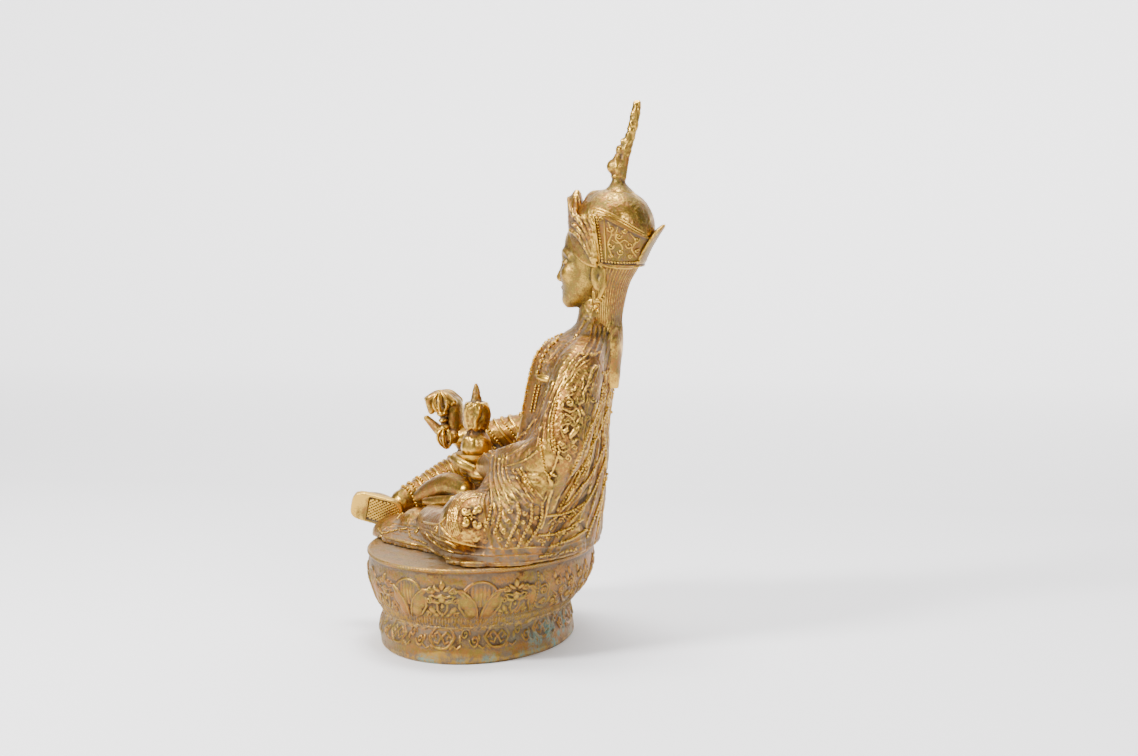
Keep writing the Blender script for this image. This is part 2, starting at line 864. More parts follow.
# Robe, legs and arms
CLOAK = [
    [52, 0, 31, 64, 36.5],
    [64, 0, 32, 60, 37.5],
    [76, 0, 36, 55, 35],
    [86, 0, 41, 51, 31],
    [102, 0, 48, 48, 25.5],
    [122, 0, 53.5, 45, 20],
    [142, 0, 58, 41, 18.5],
    [158, 0, 62, 38, 17],
    [168, 0, 65.5, 31, 14.5],
    [173.5, 0, 68.5, 20, 12.5],
    [181, 0, 71.5, 12.5, 11],
]
CLOAK_SWEEP = 0.034
CHEST = [
    [76, 0, 32, 32, 24],
    [98, 0, 42, 31, 20],
    [124, 0, 47, 28, 19.5],
    [146, 0, 52, 29.5, 20],
    [158, 0, 55, 28.5, 20],
    [168, 0, 60, 24, 18],
    [173, 0, 65, 17, 13.5],
    [179, 0, 69, 12, 11],
    [192, 0, 71, 11, 11],
]
SLEEVE_FALL = [
    [52, 51, 27, 23, 22],
    [68, 50, 29.5, 22.5, 23.5],
    [82, 48, 33, 19, 23.5],
    [95, 43, 37, 15, 21.5],
    [105, 38, 38, 10, 16],
]
HEM = [
    [0, -57],
    [19, -49],
    [31, -33],
    [49, -9],
    [72, 4],
    [78, 20],
    [66, 41],
    [43, 57],
    [0, 65],
    [-43, 57],
    [-66, 41],
    [-78, 20],
    [-72, 2],
    [-52, -16],
    [-40, -40],
    [-20, -54],
]
HEM_MIDDLE_Y = 18
SKIRT_RISE = [[SEAT_LEVEL - 2, 1], [SEAT_LEVEL + 2.6, 0.985], [SEAT_LEVEL + 5, 0.87], [SEAT_LEVEL + 10, 0.72], [SEAT_LEVEL + 23, 0.5]]
WAIST_KNOT = (30, 17.5, 101)
LEFT_KNEE = (58, 13, 73.5)
RIGHT_KNEE = (-49, -14, 88)
RIGHT_ANKLE = (-22, -50, 70)
LEFT_ARM = [
    [26, 68, 163, 10],
    [38, 67, 154, 13],
    [46, 64, 136, 14],
    [50, 57, 111, 14],
    [41, 36, 104, 12],
    [24, 14, 100, 7.5],
]
RIGHT_ARM = [
    [-25, 63, 163, 10],
    [-37, 59, 154, 13],
    [-45, 53, 137, 13.5],
    [-50, 42, 116, 13.5],
    [-49, 18, 111, 10.5],
    [-45, -20, 106, 7],
]
ROBE_SPLIT = 95


def fold_count():
    return bpy.context.scene.statue_sizes.fold_count


def cloak_phase(angle, level):
    """Which fold of the cloak a place belongs to. The folds sweep to the front as they fall."""
    behind = np.abs((angle - math.pi / 2 + math.pi) % TAU - math.pi)
    return behind / TAU * fold_count() - CLOAK_SWEEP * (119 - level) * ease(behind, 0, 0.8)


def cloak_fold(angle, level):
    phase = cloak_phase(angle, level)
    deepest = length("fold_depth")
    depth = deepest * (0.3 + 0.7 * ease(170 - level, 5, 60))
    return depth * (cloth_fold(phase) + 0.9 * cloth_fold(3 * phase + 0.3) + 0.3 * cloth_fold(7 * phase) - 1.3)


def chest_fold(angle, level):
    lapel = bell(np.abs(np.cos(angle)), 0.6, 0.14) * (np.sin(angle) < 0)
    return 1.6 * lapel * ease(level, 90, 120) * ease(180 - level, 0, 14)


def sleeve_fold(angle, level):
    return 2 * ease(108 - level, 0, 14) * (cloth_fold(angle / TAU * 11) - 0.75)


def skirt_form():
    """The skirt lies in ruffles round the legs and rises to the lap."""
    outline = curve_through(HEM + HEM[:1], 8)
    angles = np.arctan2(outline[:, 1] - HEM_MIDDLE_Y, outline[:, 0])
    reach = np.hypot(outline[:, 0], outline[:, 1] - HEM_MIDDLE_Y)
    order = np.argsort(angles)
    angles, reach = angles[order], reach[order]
    rise = softened(SKIRT_RISE, 4)

    def distance(x, y, z):
        angle = np.arctan2(y - HEM_MIDDLE_Y, x)
        edge = np.interp(angle, angles, reach, period=TAU).astype(np.float32)
        share = np.interp(z, rise[:, 0], rise[:, 1]).astype(np.float32)
        slope = edge * np.interp(z, rise[:, 0], np.gradient(rise[:, 1], rise[:, 0])).astype(np.float32)
        ruffles = 1.5 * (cloth_fold(angle / TAU * 24 + 0.3 * np.sin(3 * angle)) - 0.7)
        out = np.hypot(x, y - HEM_MIDDLE_Y) - edge * share - ruffles
        return np.maximum(out / np.sqrt(1 + slope**2), z - SKIRT_RISE[-1][0])

    return Form([-82, -60, SEAT_LEVEL - 2], [82, 68, SKIRT_RISE[-1][0]], distance)


def mirrored(rows):
    return [[row[0], -row[1], *row[2:]] for row in rows]


def robe_forms():
    """Every form of the robe and limbs, each with how softly it joins the rest."""
    boot_rest = pebble((-8, -46, 55), (17, 18, 10.5))
    knee_turn = (0, -60, 30)
    return [
        (oval_column(CHEST, chest_fold), 2),
        (oval_column(CLOAK, cloak_fold), 2),
        (skirt_form(), 2),
        (oval_column(SLEEVE_FALL), 2),
        (oval_column(mirrored(SLEEVE_FALL), sleeve_fold), 2),
        (pebble((0, 8, 72), (30, 28, 12), (14, 0, 0)), 4),
        (limb([[22, 40, 72, 18], [40, 28, 73, 18], [56, 16, 73, 16.5]]), 3),
        (limb([[56, 8, 67, 13], [34, -10, 66, 11.5], [12, -22, 66, 9]]), 3),
        (pebble(LEFT_KNEE, (17.5, 17.5, 18), knee_turn), 3),
        (limb([[-22, 38, 74, 18], [-38, 14, 82, 16.5], [*RIGHT_KNEE, 13.5]]), 3),
        (limb([[*RIGHT_KNEE, 13.5], [-37, -31, 80, 10.5], [*RIGHT_ANKLE, 8]]), 1),
        (pebble((-50, -2, 66), (16, 20, 20), (0, 0, -20)), 4),
        (boot_rest, 3),
        (pebble((-2, -34, 61), (14, 12, 10)), 3),
        (limb(LEFT_ARM), 5),
        (limb(RIGHT_ARM), 4),
        (pebble((56, 50, 98), (4, 9, 18), (14, 0, 0)), 2),
        (limb([[50, 56, 112, 13], [52, 51, 98, 11.5], [54, 45, 82, 9.5]]), 2),
    ]


def knee_fan(x, y, z):
    """Pleats that fan out from the knot at the waist over the left knee."""
    across, down = y - WAIST_KNOT[1], WAIST_KNOT[2] - z
    reach = np.hypot(across, down)
    phase = np.degrees(np.arctan2(across, down)) / 7.5
    seen = ease(x, 28, 40) * ease(reach, 4, 16) * (1 - ease(across, 30, 38)) * ease(z, 56, 60)
    smooth_knee = 1 - 0.85 * ease(20 - np.hypot(y - 8, z - 74), 0, 6)
    return 0.45 * seen * smooth_knee * (ridge(phase) - 0.5)


def robe_clay(low, high, step):
    clay = Clay(low, high, step)
    for form, blend in robe_forms():
        clay.add(form, blend)
    fan = Form([28, -6, 54], [84, 60, 104], None)
    spans, x, y, z = clay.window(fan, 0)
    clay.depth[spans] -= knee_fan(x, y, z)
    return clay


def cast_grain(shell):
    """Presses the small lumps and pits of a rough casting into a shell."""
    lumps = grain(shell.points, 2.2) + 0.6 * grain(shell.points + 40, 4) + 0.8 * grain(shell.points + 20, 1.1)
    shell.press(length("casting_grain") * lumps)
    return shell


# Single ridges of cloth: the pixels they pass through, half width in pixels and height in millimetres
ROBE_RIDGES = [
    ([(585, 322), (578, 334), (568.8, 343.8), (561, 351), (555, 357.5), (546, 366)], 1.6, 1.0),
    ([(586, 357), (582, 359.6), (578, 363), (574.3, 368.6), (570.7, 376.4), (566.4, 381.4), (563, 388)], 1.6, 1.1),
    ([(588, 361), (580, 366), (576, 374), (571, 382)], 0.9, 0.6),
    ([(595, 367), (592, 371.4), (590, 377), (588, 384.3), (585.7, 388.6)], 2.1, 1.5),
    ([(598, 366), (594.6, 378), (591, 392), (587.6, 408), (585, 424), (583, 440)], 1.6, 0.8),
    ([(551, 481), (551, 490), (548, 501), (545.6, 512), (543, 522), (540.6, 528)], 2.2, 1.5),
    ([(549.4, 479), (549.6, 487), (546, 497), (542.4, 504)], 1.3, 1.1),
    ([(559, 452), (556, 462), (553, 470), (550, 478)], 1.4, 0.9),
    ([(556, 398), (551.6, 410), (549, 424), (549, 436), (551, 450)], 1.3, 0.8),
    ([(541, 428), (530, 441), (516, 451), (502, 459)], 1.4, 0.8),
    ([(535, 420), (524, 434), (512, 444), (500, 450)], 1.4, 0.8),
    ([(536, 452), (527, 459), (514, 464), (502, 466)], 1.6, 0.7),
    ([(518, 505), (519, 515), (516, 526), (512, 533), (506, 546)], 2.5, 0.9),
    ([(494.6, 505), (495, 514), (492.6, 523), (489.4, 532)], 2.4, 0.8),
    ([(532, 505), (531.6, 517), (529, 525.6), (524, 534), (517, 546)], 1.8, 0.7),
    ([(542, 503), (541.6, 517), (538, 527), (532, 537), (526, 545)], 1.8, 0.8),
    ([(552, 381.6), (547, 395), (541.6, 405)], 2.4, 0.8),
    ([(550, 402), (545.6, 413), (543, 424), (538, 434)], 1.4, 0.7),
    ([(558, 338), (549, 347), (542, 358), (538.6, 369)], 2.2, 0.7),
    ([(557, 350), (550, 358), (547, 366)], 1.0, 0.7),
    ([(561, 345), (556, 349), (551, 346)], 1.0, 0.7),
    ([(525, 432.6), (511, 445), (500, 450)], 1.6, 1.0),
]
# Families of folds: their first line, their last line, how many lie between, half width, height
ROBE_FAMILIES = [
    (
        [(579, 354), (570, 364), (563.6, 380), (557, 394), (551, 411), (548, 433), (548.6, 447)],
        [(560, 356), (553, 372), (546.4, 392), (541.4, 408), (540, 424), (538, 436), (536, 446)],
        1, 1.4, 0.4,
    ),
    (
        [(596, 404), (590, 424), (582, 446), (574, 466), (566, 484), (556, 500)],
        [(609, 400), (606.6, 430), (606, 462), (603, 492), (597, 518), (590, 542)],
        4, 1.7, 0.9,
    ),
    (
        [(592, 326), (590, 338), (583, 350)],
        [(618, 330), (616, 350), (613, 372)],
        5, 1.2, 0.6,
    ),
    (
        [(604, 372), (602, 388), (598, 402), (593, 416)],
        [(613.8, 366), (614, 382), (611, 396), (606.6, 412)],
        3, 1.0, 0.7,
    ),
    (
        [(453, 540), (448, 527), (448.6, 512), (456, 497), (466, 488.6), (478, 483.4), (487, 477.6), (492, 469)],
        [(460, 533), (456.6, 521), (458.6, 509), (464, 501), (472, 497), (480, 497.6), (487, 502)],
        4, 0.9, 0.5,
    ),
    (
        [(491, 457), (490, 468), (489.6, 480), (491, 492), (492, 504)],
        [(507, 454), (506, 466), (509, 480), (518, 492), (527, 503)],
        3, 1.3, 0.6,
    ),
    (
        [(513, 470), (519, 481), (526, 492), (533, 502)],
        [(521, 468), (528, 480), (536, 490), (543, 499)],
        1, 1.2, 0.6,
    ),
    (
        [(449, 540), (470, 545.4), (500, 548.6), (530, 547), (560, 546), (592, 536)],
        [(446, 562), (474, 563), (505, 563), (536, 561), (566, 555), (592, 545)],
        1, 1.4, 0.5,
    ),
    (
        [(384, 532), (400, 535), (418, 539.6), (436, 547), (452, 555)],
        [(394, 524), (411, 526), (428, 530), (446, 537.6), (458, 545)],
        2, 1.2, 0.6,
    ),
]
# Curls: pixel, outer radius in pixels, turns, start in degrees, hand, half width, height
ROBE_CURLS = [
    ((569.4, 402.6), 4.4, 1.2, 260, 1, 1.4, 1.2),
    ((561.6, 416.4), 2.8, 1.1, 200, 1, 1.1, 0.8),
    ((592.4, 399), 3.4, 1.2, 30, 1, 1.0, 0.7),
    ((587, 417), 3.2, 1.2, 120, -1, 1.0, 0.7),
    ((577, 374), 2.4, 1.1, 90, 1, 0.9, 0.6),
    ((561, 443), 2.8, 1.2, 0, 1, 1.0, 0.8),
    ((567.6, 457.6), 3.6, 1.3, 60, -1, 1.1, 0.9),
    ((574.6, 447.6), 2.8, 1.2, 200, 1, 1.0, 0.7),
    ((604.2, 372.4), 2.6, 1.0, 0, 1, 1.2, 1.0),
    ((604.6, 390), 2.4, 1.1, 90, 1, 0.9, 0.7),
    ((552.6, 523), 4.2, 1.5, 180, 1, 1.0, 0.9),
    ((560.4, 520.4), 3.2, 1.3, 20, -1, 0.9, 0.8),
    ((566.4, 517.6), 3.0, 1.3, 200, 1, 0.9, 0.8),
    ((572.6, 514), 2.8, 1.3, 0, -1, 0.9, 0.8),
    ((578.4, 509.4), 2.6, 1.2, 200, 1, 0.9, 0.7),
    ((540.6, 541), 3.0, 1.3, 180, 1, 0.9, 0.8),
    ((548.6, 539.4), 2.8, 1.3, 0, -1, 0.9, 0.8),
    ((556.6, 537), 2.8, 1.2, 200, 1, 0.9, 0.8),
    ((564.4, 533.4), 2.6, 1.2, 0, -1, 0.9, 0.8),
    ((571.6, 529.4), 2.6, 1.2, 200, 1, 0.9, 0.7),
    ((509.6, 511), 2.8, 1.2, 0, 1, 1.0, 0.7),
    ((508.4, 521), 2.8, 1.2, 180, -1, 1.0, 0.7),
    ((504, 531), 2.6, 1.2, 90, 1, 1.0, 0.7),
    ((499.6, 540), 2.4, 1.2, 0, -1, 1.0, 0.7),
    ((524.8, 513), 2.4, 1.2, 0, 1, 0.9, 0.7),
    ((523.4, 522), 2.4, 1.2, 180, -1, 0.9, 0.7),
    ((518.6, 531), 2.4, 1.2, 90, 1, 0.9, 0.7),
    ((513.6, 540), 2.2, 1.2, 0, -1, 0.9, 0.7),
    ((537, 508), 2.2, 1.2, 180, 1, 0.9, 0.6),
    ((536, 518), 2.2, 1.2, 0, -1, 0.9, 0.6),
    ((476, 539), 3.0, 1.2, 180, -1, 1.0, 0.6),
    ((484.6, 541), 2.6, 1.2, 0, 1, 1.0, 0.6),
    ((550, 353), 2.4, 1.2, 0, 1, 1.0, 0.8),
    ((546, 361), 2.4, 1.2, 180, -1, 1.0, 0.8),
]
# Stems and leaves of the sleeve's band
BAND_STEMS = [
    ([(582.8, 379), (583.4, 384), (582, 389.4)], 1.2, 1.0),
    ([(576, 387), (574.6, 390), (571.4, 390.4), (573, 393), (570.6, 395.4), (565, 396.4)], 1.4, 1.2),
    ([(585.7, 389), (583.4, 394), (583.6, 401), (579.6, 404.4), (582.6, 409)], 1.4, 1.1),
    ([(563.4, 401), (563, 407.6), (567, 410.6), (572, 411.6), (577, 408.6), (580.6, 411)], 1.4, 1.1),
    ([(578.6, 410), (579.4, 417), (577, 422), (574, 426), (570.6, 424)], 1.3, 1.1),
    ([(566, 414.6), (570.6, 416.4), (573.6, 420)], 1.0, 0.7),
    ([(563.4, 436), (561.6, 429), (564.4, 424.6), (569, 424)], 1.3, 1.1),
    ([(558, 446), (560, 450), (564, 452), (569, 449)], 1.1, 0.8),
    ([(588, 394), (586, 402), (585, 410), (582.6, 417), (582, 424)], 1.1, 0.8),
    ([(573, 378), (577, 382), (576, 386)], 1.0, 0.7),
]
BAND_LEAVES = [
    ((563, 433), (569, 428), 2.6, 1.3),
    ((569.4, 438.6), (579.4, 424), 3.0, 1.5),
    ((579, 406), (585, 416), 2.2, 1.0),
    ((572, 444), (578, 437), 1.8, 0.9),
    ((556, 456), (563, 458.6), 2.2, 1.2),
    ((549.6, 473), (557, 476), 2.0, 1.2),
    ((561, 449), (565, 446), 1.5, 0.8),
    ((589, 384), (592, 378), 1.6, 0.8),
]
SHOULDER_FRINGE = [(577, 355.5), (580.6, 353.6), (585, 355.6), (589, 354), (593, 356), (597, 353.4), (601.6, 352)]
KNEE_STAR = (471.6, 517.4)
KNEE_COMMAS = [((465.4, 511.2), 20, 1), ((478.6, 511), 160, 1), ((464.6, 523.4), -70, 1), ((478.8, 524.8), 200, -1)]
LAP_JEWEL = [(489.4, 446), (495.6, 452.4), (489.6, 459), (483, 452.8), (489.4, 446)]
STIPPLED = [((586, 378), (12, 24)), ((572, 410), (17, 44)), ((474, 536), (14, 8)), ((545, 368), (11, 30)), ((416, 537), (38, 17)), ((552, 340), (26, 22))]


def draw_robe(shell):
    """Presses the ridges, folds and scrolls that the photograph shows into the cloak or the skirt."""
    drawing = Drawing(shell, 26)
    for pixels, half_width, height in ROBE_RIDGES + BAND_STEMS:
        drawing.line(pixels, half_width, height)
    for first, last, count, half_width, height in ROBE_FAMILIES:
        for pixels in (first, *between(first, last, count), last):
            drawing.line(pixels[:: max(1, len(pixels) // 8)], half_width, height, 0.3)
    for curl in ROBE_CURLS:
        drawing.curl(*curl)
    for leaf in BAND_LEAVES:
        drawing.leaf(*leaf)
    for start, end in zip(SHOULDER_FRINGE[:-1], SHOULDER_FRINGE[1:]):
        drawing.leaf(start, end, 1.6, 1.2)
    for middle, start, hand in KNEE_COMMAS:
        drawing.curl(middle, 4.1, 0.72, start, hand, 2.8, 1.7)
    for right, down in ((1, 0), (-1, 0), (0, 1), (0, -1)):
        drawing.leaf(KNEE_STAR, (KNEE_STAR[0] + 4 * right, KNEE_STAR[1] + 4 * down), 1.0, 0.9)
    for start, end in zip(LAP_JEWEL[:-1], LAP_JEWEL[1:]):
        drawing.line([start, end], 1.1, 0.9, 0)
    drawing.leaf((487, 452.6), (492, 452.6), 2.2, 1.2)
    for middle, half in STIPPLED:
        share = np.hypot((drawing.across - middle[0]) / half[0], (drawing.down - middle[1]) / half[1])
        chosen = np.flatnonzero(share < 1)
        dots = 0.22 * ease(grain(shell.points[chosen], 1.1), -0.1, 0.4)
        drawing.height[chosen] = np.maximum(drawing.height[chosen], dots)
    drawing.press()
    return shell


def build_robe():
    step = 0.5
    lower = robe_clay((-84, -68, SEAT_LEVEL - 1.5), (84, 74, ROBE_SPLIT + 3), step)
    lower.floor_at(SEAT_LEVEL)
    lower.lid_at(ROBE_SPLIT + 2, ROBE_SPLIT)
    skirt = make_object(draw_robe(cast_grain(lower.skin())), "robe_skirt", "figure", 180000)
    upper = robe_clay((-68, -30, ROBE_SPLIT - 1), (68, 92, 194), step)
    upper.floor_at(ROBE_SPLIT)
    cloak = make_object(draw_robe(cast_grain(upper.skin())), "robe_cloak", "figure", 180000)
    for piece in (skirt, cloak):
        mark_hollows(piece, cut=ROBE_SPLIT)
        mark_wear(piece, 0.44, 0.7)
        piece.data.materials.append(brass_finish("robe_finish"))


# Head
FACE_FRONT = 50
EYE_LEVEL = 212
NOSE_LEVEL = 202
MOUTH_LEVEL = 196.5
HEAD = [
    [187, 0, FACE_FRONT + 8, 5, 5.5],
    [190, 0, FACE_FRONT + 10, 9, 9.2],
    [195, 0, FACE_FRONT + 13.5, 12.5, 13.4],
    [202, 0, FACE_FRONT + 17, 15.4, 17],
    [212, 0, FACE_FRONT + 20.5, 17, 19.8],
    [224, 0, FACE_FRONT + 22, 17, 20.5],
    [236, 0, FACE_FRONT + 24, 13, 17],
]
HAIR = [
    [142, 0, 77, 3, 4.5],
    [152, 0, 76.5, 8, 6],
    [166, 0, 78, 11.4, 5.8],
    [174, 0, 77, 13, 6.4],
    [182, 0, 75.4, 14.8, 7.6],
    [198, 0, 76, 17, 10.4],
    [212, 0, 79, 18, 15],
]


def head_clay(step):
    clay = Clay((-24, 44, 176), (24, 98, 240), step)
    clay.add(oval_column(HEAD), 1)
    clay.add(oval_column([[170, 0, 70, 10, 9], [180, 0, 70, 9.6, 9.2], [192, 0, 70, 10.5, 11]]), 3)
    front = FACE_FRONT
    for side in SIDES:
        clay.add(pebble((side * 7, front + 6.5, 205.5), (6.5, 6, 6.5)), 4)
        clay.cut(pebble((side * 6.8, front + 0.4, EYE_LEVEL + 0.6), (5, 2.2, 2.8), (0, side * 4, 0)), 3)
        clay.add(limb([[side * 1.6, front + 0.8, 216, 0.9], [side * 6.5, front + 2.2, 218, 1], [side * 12.5, front + 6.4, 215, 0.7]]), 3)
        clay.add(pebble((side * 6.7, front + 4.2, EYE_LEVEL), (4.4, 2.8, 2.7)), 0.8)
        clay.add(limb([[side * 2.9, front + 2.3, 211.2, 0.45], [side * 6.7, front + 1, 211.9, 0.55], [side * 11, front + 3.6, 211.6, 0.45]]), 0.6)
        clay.add(pebble((side * 2.3, front - 0.2, NOSE_LEVEL + 0.6), (1.9, 2, 1.6)), 1.2)
    clay.add(limb([[0, front + 1.6, 215, 1.5], [0, front + 0.6, 209, 1.7], [0, front - 1.4, NOSE_LEVEL + 1.4, 2.3]]), 2)
    clay.cut(pebble((0, front - 0.3, 199.6), (0.9, 0.9, 1.7)), 1.2)
    clay.add(limb([[-4.8, front + 3.2, 196.9, 0.7], [-1.6, front + 0.5, 197.7, 1.2], [0, front + 0.5, 197.3, 1.1], [1.6, front + 0.5, 197.7, 1.2], [4.8, front + 3.2, 196.9, 0.7]]), 1)
    clay.add(limb([[-3.8, front + 2.9, 195.9, 0.7], [0, front + 0.9, 194.9, 1.4], [3.8, front + 2.9, 195.9, 0.7]]), 0.7)
    clay.add(pebble((0, front + 4.2, 190.6), (4.6, 4, 3.4)), 3)
    for side in SIDES:
        clay.add(pebble((side * 16.6, 73.5, 204), (2, 4.4, 8), (8, 0, 0)), 1.5)
        clay.add(limb([[side * 17.2, 76.4, 208, 0.9], [side * 17.8, 74, 211.4, 0.9], [side * 17.4, 70.6, 208.4, 0.9], [side * 17, 70.4, 203, 0.8]]), 0.8)
        clay.add(limb([[side * 17.2, 76.6, 208, 0.9], [side * 17.4, 76.6, 200, 1], [side * 16.8, 73.5, 192.5, 1.2], [side * 16.6, 71.5, 191, 1.1], [side * 16.4, 70.6, 196, 0.9]]), 0.8)
        clay.cut(pebble((side * 18.9, 73.4, 205.5), (1.2, 1.5, 3.2)), 1)
    return clay


def build_head():
    face = head_clay(0.45)
    made = make_object(face.skin(), "head", "figure", 44000)
    hair_clay = Clay((-24, 60, 139), (24, 98, 214), 0.55)
    hair_clay.add(oval_column(HAIR, lambda angle, level: 0.35 * np.cos(angle * 46) * ease(level, 164, 176)), 1)
    hair = make_object(hair_clay.skin(), "hair", "figure", 28000)
    for piece, stain in ((made, 0.1), (hair, 0.7)):
        mark_hollows(piece)
        mark_wear(piece, 0.1 + 0.3 * stain, stain)
    made.data.materials.append(brass_finish("face_finish", 0.8, 0.34))
    hair.data.materials.append(brass_finish("robe_finish"))


# Hat
HAT_MIDDLE_Y = 78.5
DOME_TOP = 252
BAND_LOW = 209.5
FINIAL = [
    (246.6, 9),
    (249, 9.6),
    (251.4, 7.6),
    (254, 5),
    (257.4, 3.4),
    (258.6, 4.1),
    (260, 3.6),
    (263.5, 4.3),
    (267, 3.6),
    (271, 1.8),
]
# The flap's folds sweep from its tip and its front edge down to the ear
FLAP_FAMILIES = [
    ([(571.6, 230), (577.6, 235), (585.6, 247), (593.6, 263)], [(584, 206), (591.6, 222), (596.6, 243), (599.6, 262)], 3, 2.5, 1.5),
    ([(573, 216), (572.4, 206), (574.4, 195)], [(580, 212), (579.4, 203), (577.4, 195)], 1, 1.0, 0.7),
]
PANEL_STEMS = [
    [(608, 222), (611.6, 233), (608, 244), (612.4, 257)],
    [(618, 227), (615.6, 238), (622.4, 247), (618.6, 258)],
    [(630, 233), (635.6, 241), (631.6, 249), (636.4, 257)],
    [(612, 240), (618, 243), (624, 240), (630, 243)],
]
PANEL_CURLS = [
    ((611, 228.6), 2.1, 1),
    ((618.6, 235.6), 1.9, -1),
    ((610.6, 246), 2.0, -1),
    ((629, 245), 2.1, 1),
    ((620.6, 252), 1.8, 1),
    ((636.4, 239.4), 1.8, -1),
    ((625, 230.6), 1.6, 1),
    ((629.6, 255.6), 1.5, -1),
    ((611.4, 255.6), 1.4, 1),
    ((637, 250), 1.4, 1),
]


def draw_hat(shell):
    """Presses the flap's folds into the hat, alike on both sides."""
    drawing = Drawing(shell, -100)
    for first, last, count, half_width, height in FLAP_FAMILIES:
        for pixels in (first, *between(first, last, count), last):
            drawing.line(pixels[:: max(1, len(pixels) // 8)], half_width, height, 0.3)
    drawing.press()
    return shell


def hat_side(angle, share, out=0.0):
    """A place on the hat's side, where share runs from its lower edge to its upper edge."""
    front = np.maximum(0, -np.sin(angle))
    back = np.maximum(0, np.sin(angle))
    low = BAND_LOW + 17 * front**1.4
    high = 238 - 13 * back
    flare = 19.4 + 3.4 * share + out
    depth = flare - 3 * front - 2.6 * back * (1 - share)
    return np.stack(
        [flare * np.cos(angle), HAT_MIDDLE_Y - 0.5 + depth * np.sin(angle), low + (high - low) * share], axis=-1
    )


def front_flap(x, y, z):
    """The raised brim: a thick band from the tall front leaf down to each ear."""
    angle = np.arctan2(y - HAT_MIDDLE_Y, x)
    turned = np.abs((angle + math.pi / 2 + math.pi) % TAU - math.pi)
    front = ease(1.35 - turned, 0, 1.35)
    low = BAND_LOW + 13 * front**1.2
    high = 237 + 11 * bell(turned, 0, 0.42)
    lean = 1.2 * ease(z, 236, 250) * bell(turned, 0, 0.6)
    reach = np.hypot(x / (21.4 + 0.12 * (z - 225)), (y - HAT_MIDDLE_Y) / (23.2 + lean))
    wall = np.abs((reach - 1) * 21.5) - 1.5
    edge = np.maximum(low - z, z - high) * 0.8
    ends = (turned - 1.3) * 20
    return np.maximum(np.maximum(wall, edge), ends)


def build_hat():
    dome = Clay((-24, 54, 226), (24, 103, 256), 0.5)
    dome.add(pebble((0, HAT_MIDDLE_Y + 0.5, 231), (22, 22.3, DOME_TOP - 230.5)), 1)
    dome.add(pebble((0, 68, 246), (5, 5, 5)), 3)
    piece = make_object(cast_grain(dome.skin()), "hat_dome", "figure", 22000)
    angles = np.linspace(0, TAU, 240, endpoint=False)
    profile = [[0.02, -3], [0, -0.3], [0.02, 0.5], [0.05, 0.7], [0.09, 0.3], [0.5, 0.2], [0.9, 0.3], [0.94, 0.8], [0.99, 0.7], [1, 0], [0.98, -2.5]]
    rings = [hat_side(angles, share, out) for share, out in softened([[k, *row] for k, row in enumerate(profile)], 4)[:, 1:]]
    band = Shell(np.vstack(rings), band_faces(len(rings), len(angles)))
    wall = make_object(band, "hat_band", "figure", 60000)
    for made in (piece, wall):
        mark_hollows(made)
        mark_wear(made)
        made.data.materials.append(brass_finish("robe_finish"))
    leaves = Clay((-26, 50, 206), (26, 112, 303), 0.5)
    rear = oval_column([[211, 0, 93, 11, 2.6], [218, 0, 96.4, 10.6, 2.4], [225, 0, 100.6, 8.8, 2.2], [229.6, 0, 104, 5.6, 2], [231.6, 0, 105.8, 3.2, 1.5], [232.6, 0, 106.6, 1.4, 0.8]])
    leaves.add(rear, 1)
    front = oval_column([[224, 0, 59, 12.5, 3.6], [232, 0, 58, 12, 4], [240, 0, 57.4, 9.5, 3.9], [246, 0, 57.4, 6.5, 3.3], [249.4, 0, 57.8, 3.8, 2.4], [251.4, 0, 58, 1.4, 1]])
    leaves.add(front, 1)
    leaves.add(limb([[0, 83, 258, 2.5], [0, 85, 271, 2.7], [0, 88.7, 284, 2.8], [0, 91.4, 297.5, 2.4]]), 1)
    leaves.add(oval_column([[row[0], 0, 81, row[1], row[1]] for row in FINIAL]), 0.8)
    leaves.add(pebble((0, 78.5, 264), (3.6, 4, 4)), 1)
    leaves.add(Form([-26, 52, 207], [26, 82, 253], front_flap), 1.5)
    leaves.add(pebble((0, 55.4, 234), (3.4, 2.6, 3.6)), 1)
    leaves.add(pebble((0, 56, 228.6), (2.6, 2.2, 2.2)), 1)
    for angle in range(0, 360, 90):
        lobe = (2.6 * math.cos(math.radians(angle)), 81 + 2.6 * math.sin(math.radians(angle)), 263)
        leaves.add(pebble(lobe, (1.9, 1.9, 4.6)), 0.6)
    leaves.add(pebble((0, 82.6, 273), (2.8, 3, 3)), 0.8)
    leaves.add(pebble((0, 84.4, 277.4), (2.2, 2.2, 2.4)), 0.6)
    feathered = draw_hat(leaves.skin())
    rough = ease(feathered.points[:, 2], 264, 272)
    feathered.press(0.4 * rough * grain(feathered.points, 1.6) + 0.1 * grain(feathered.points, 1.4))
    made = make_object(feathered, "hat_leaves", "figure", 48000)
    mark_hollows(made)
    mark_wear(made)
    made.data.materials.append(brass_finish("robe_finish"))


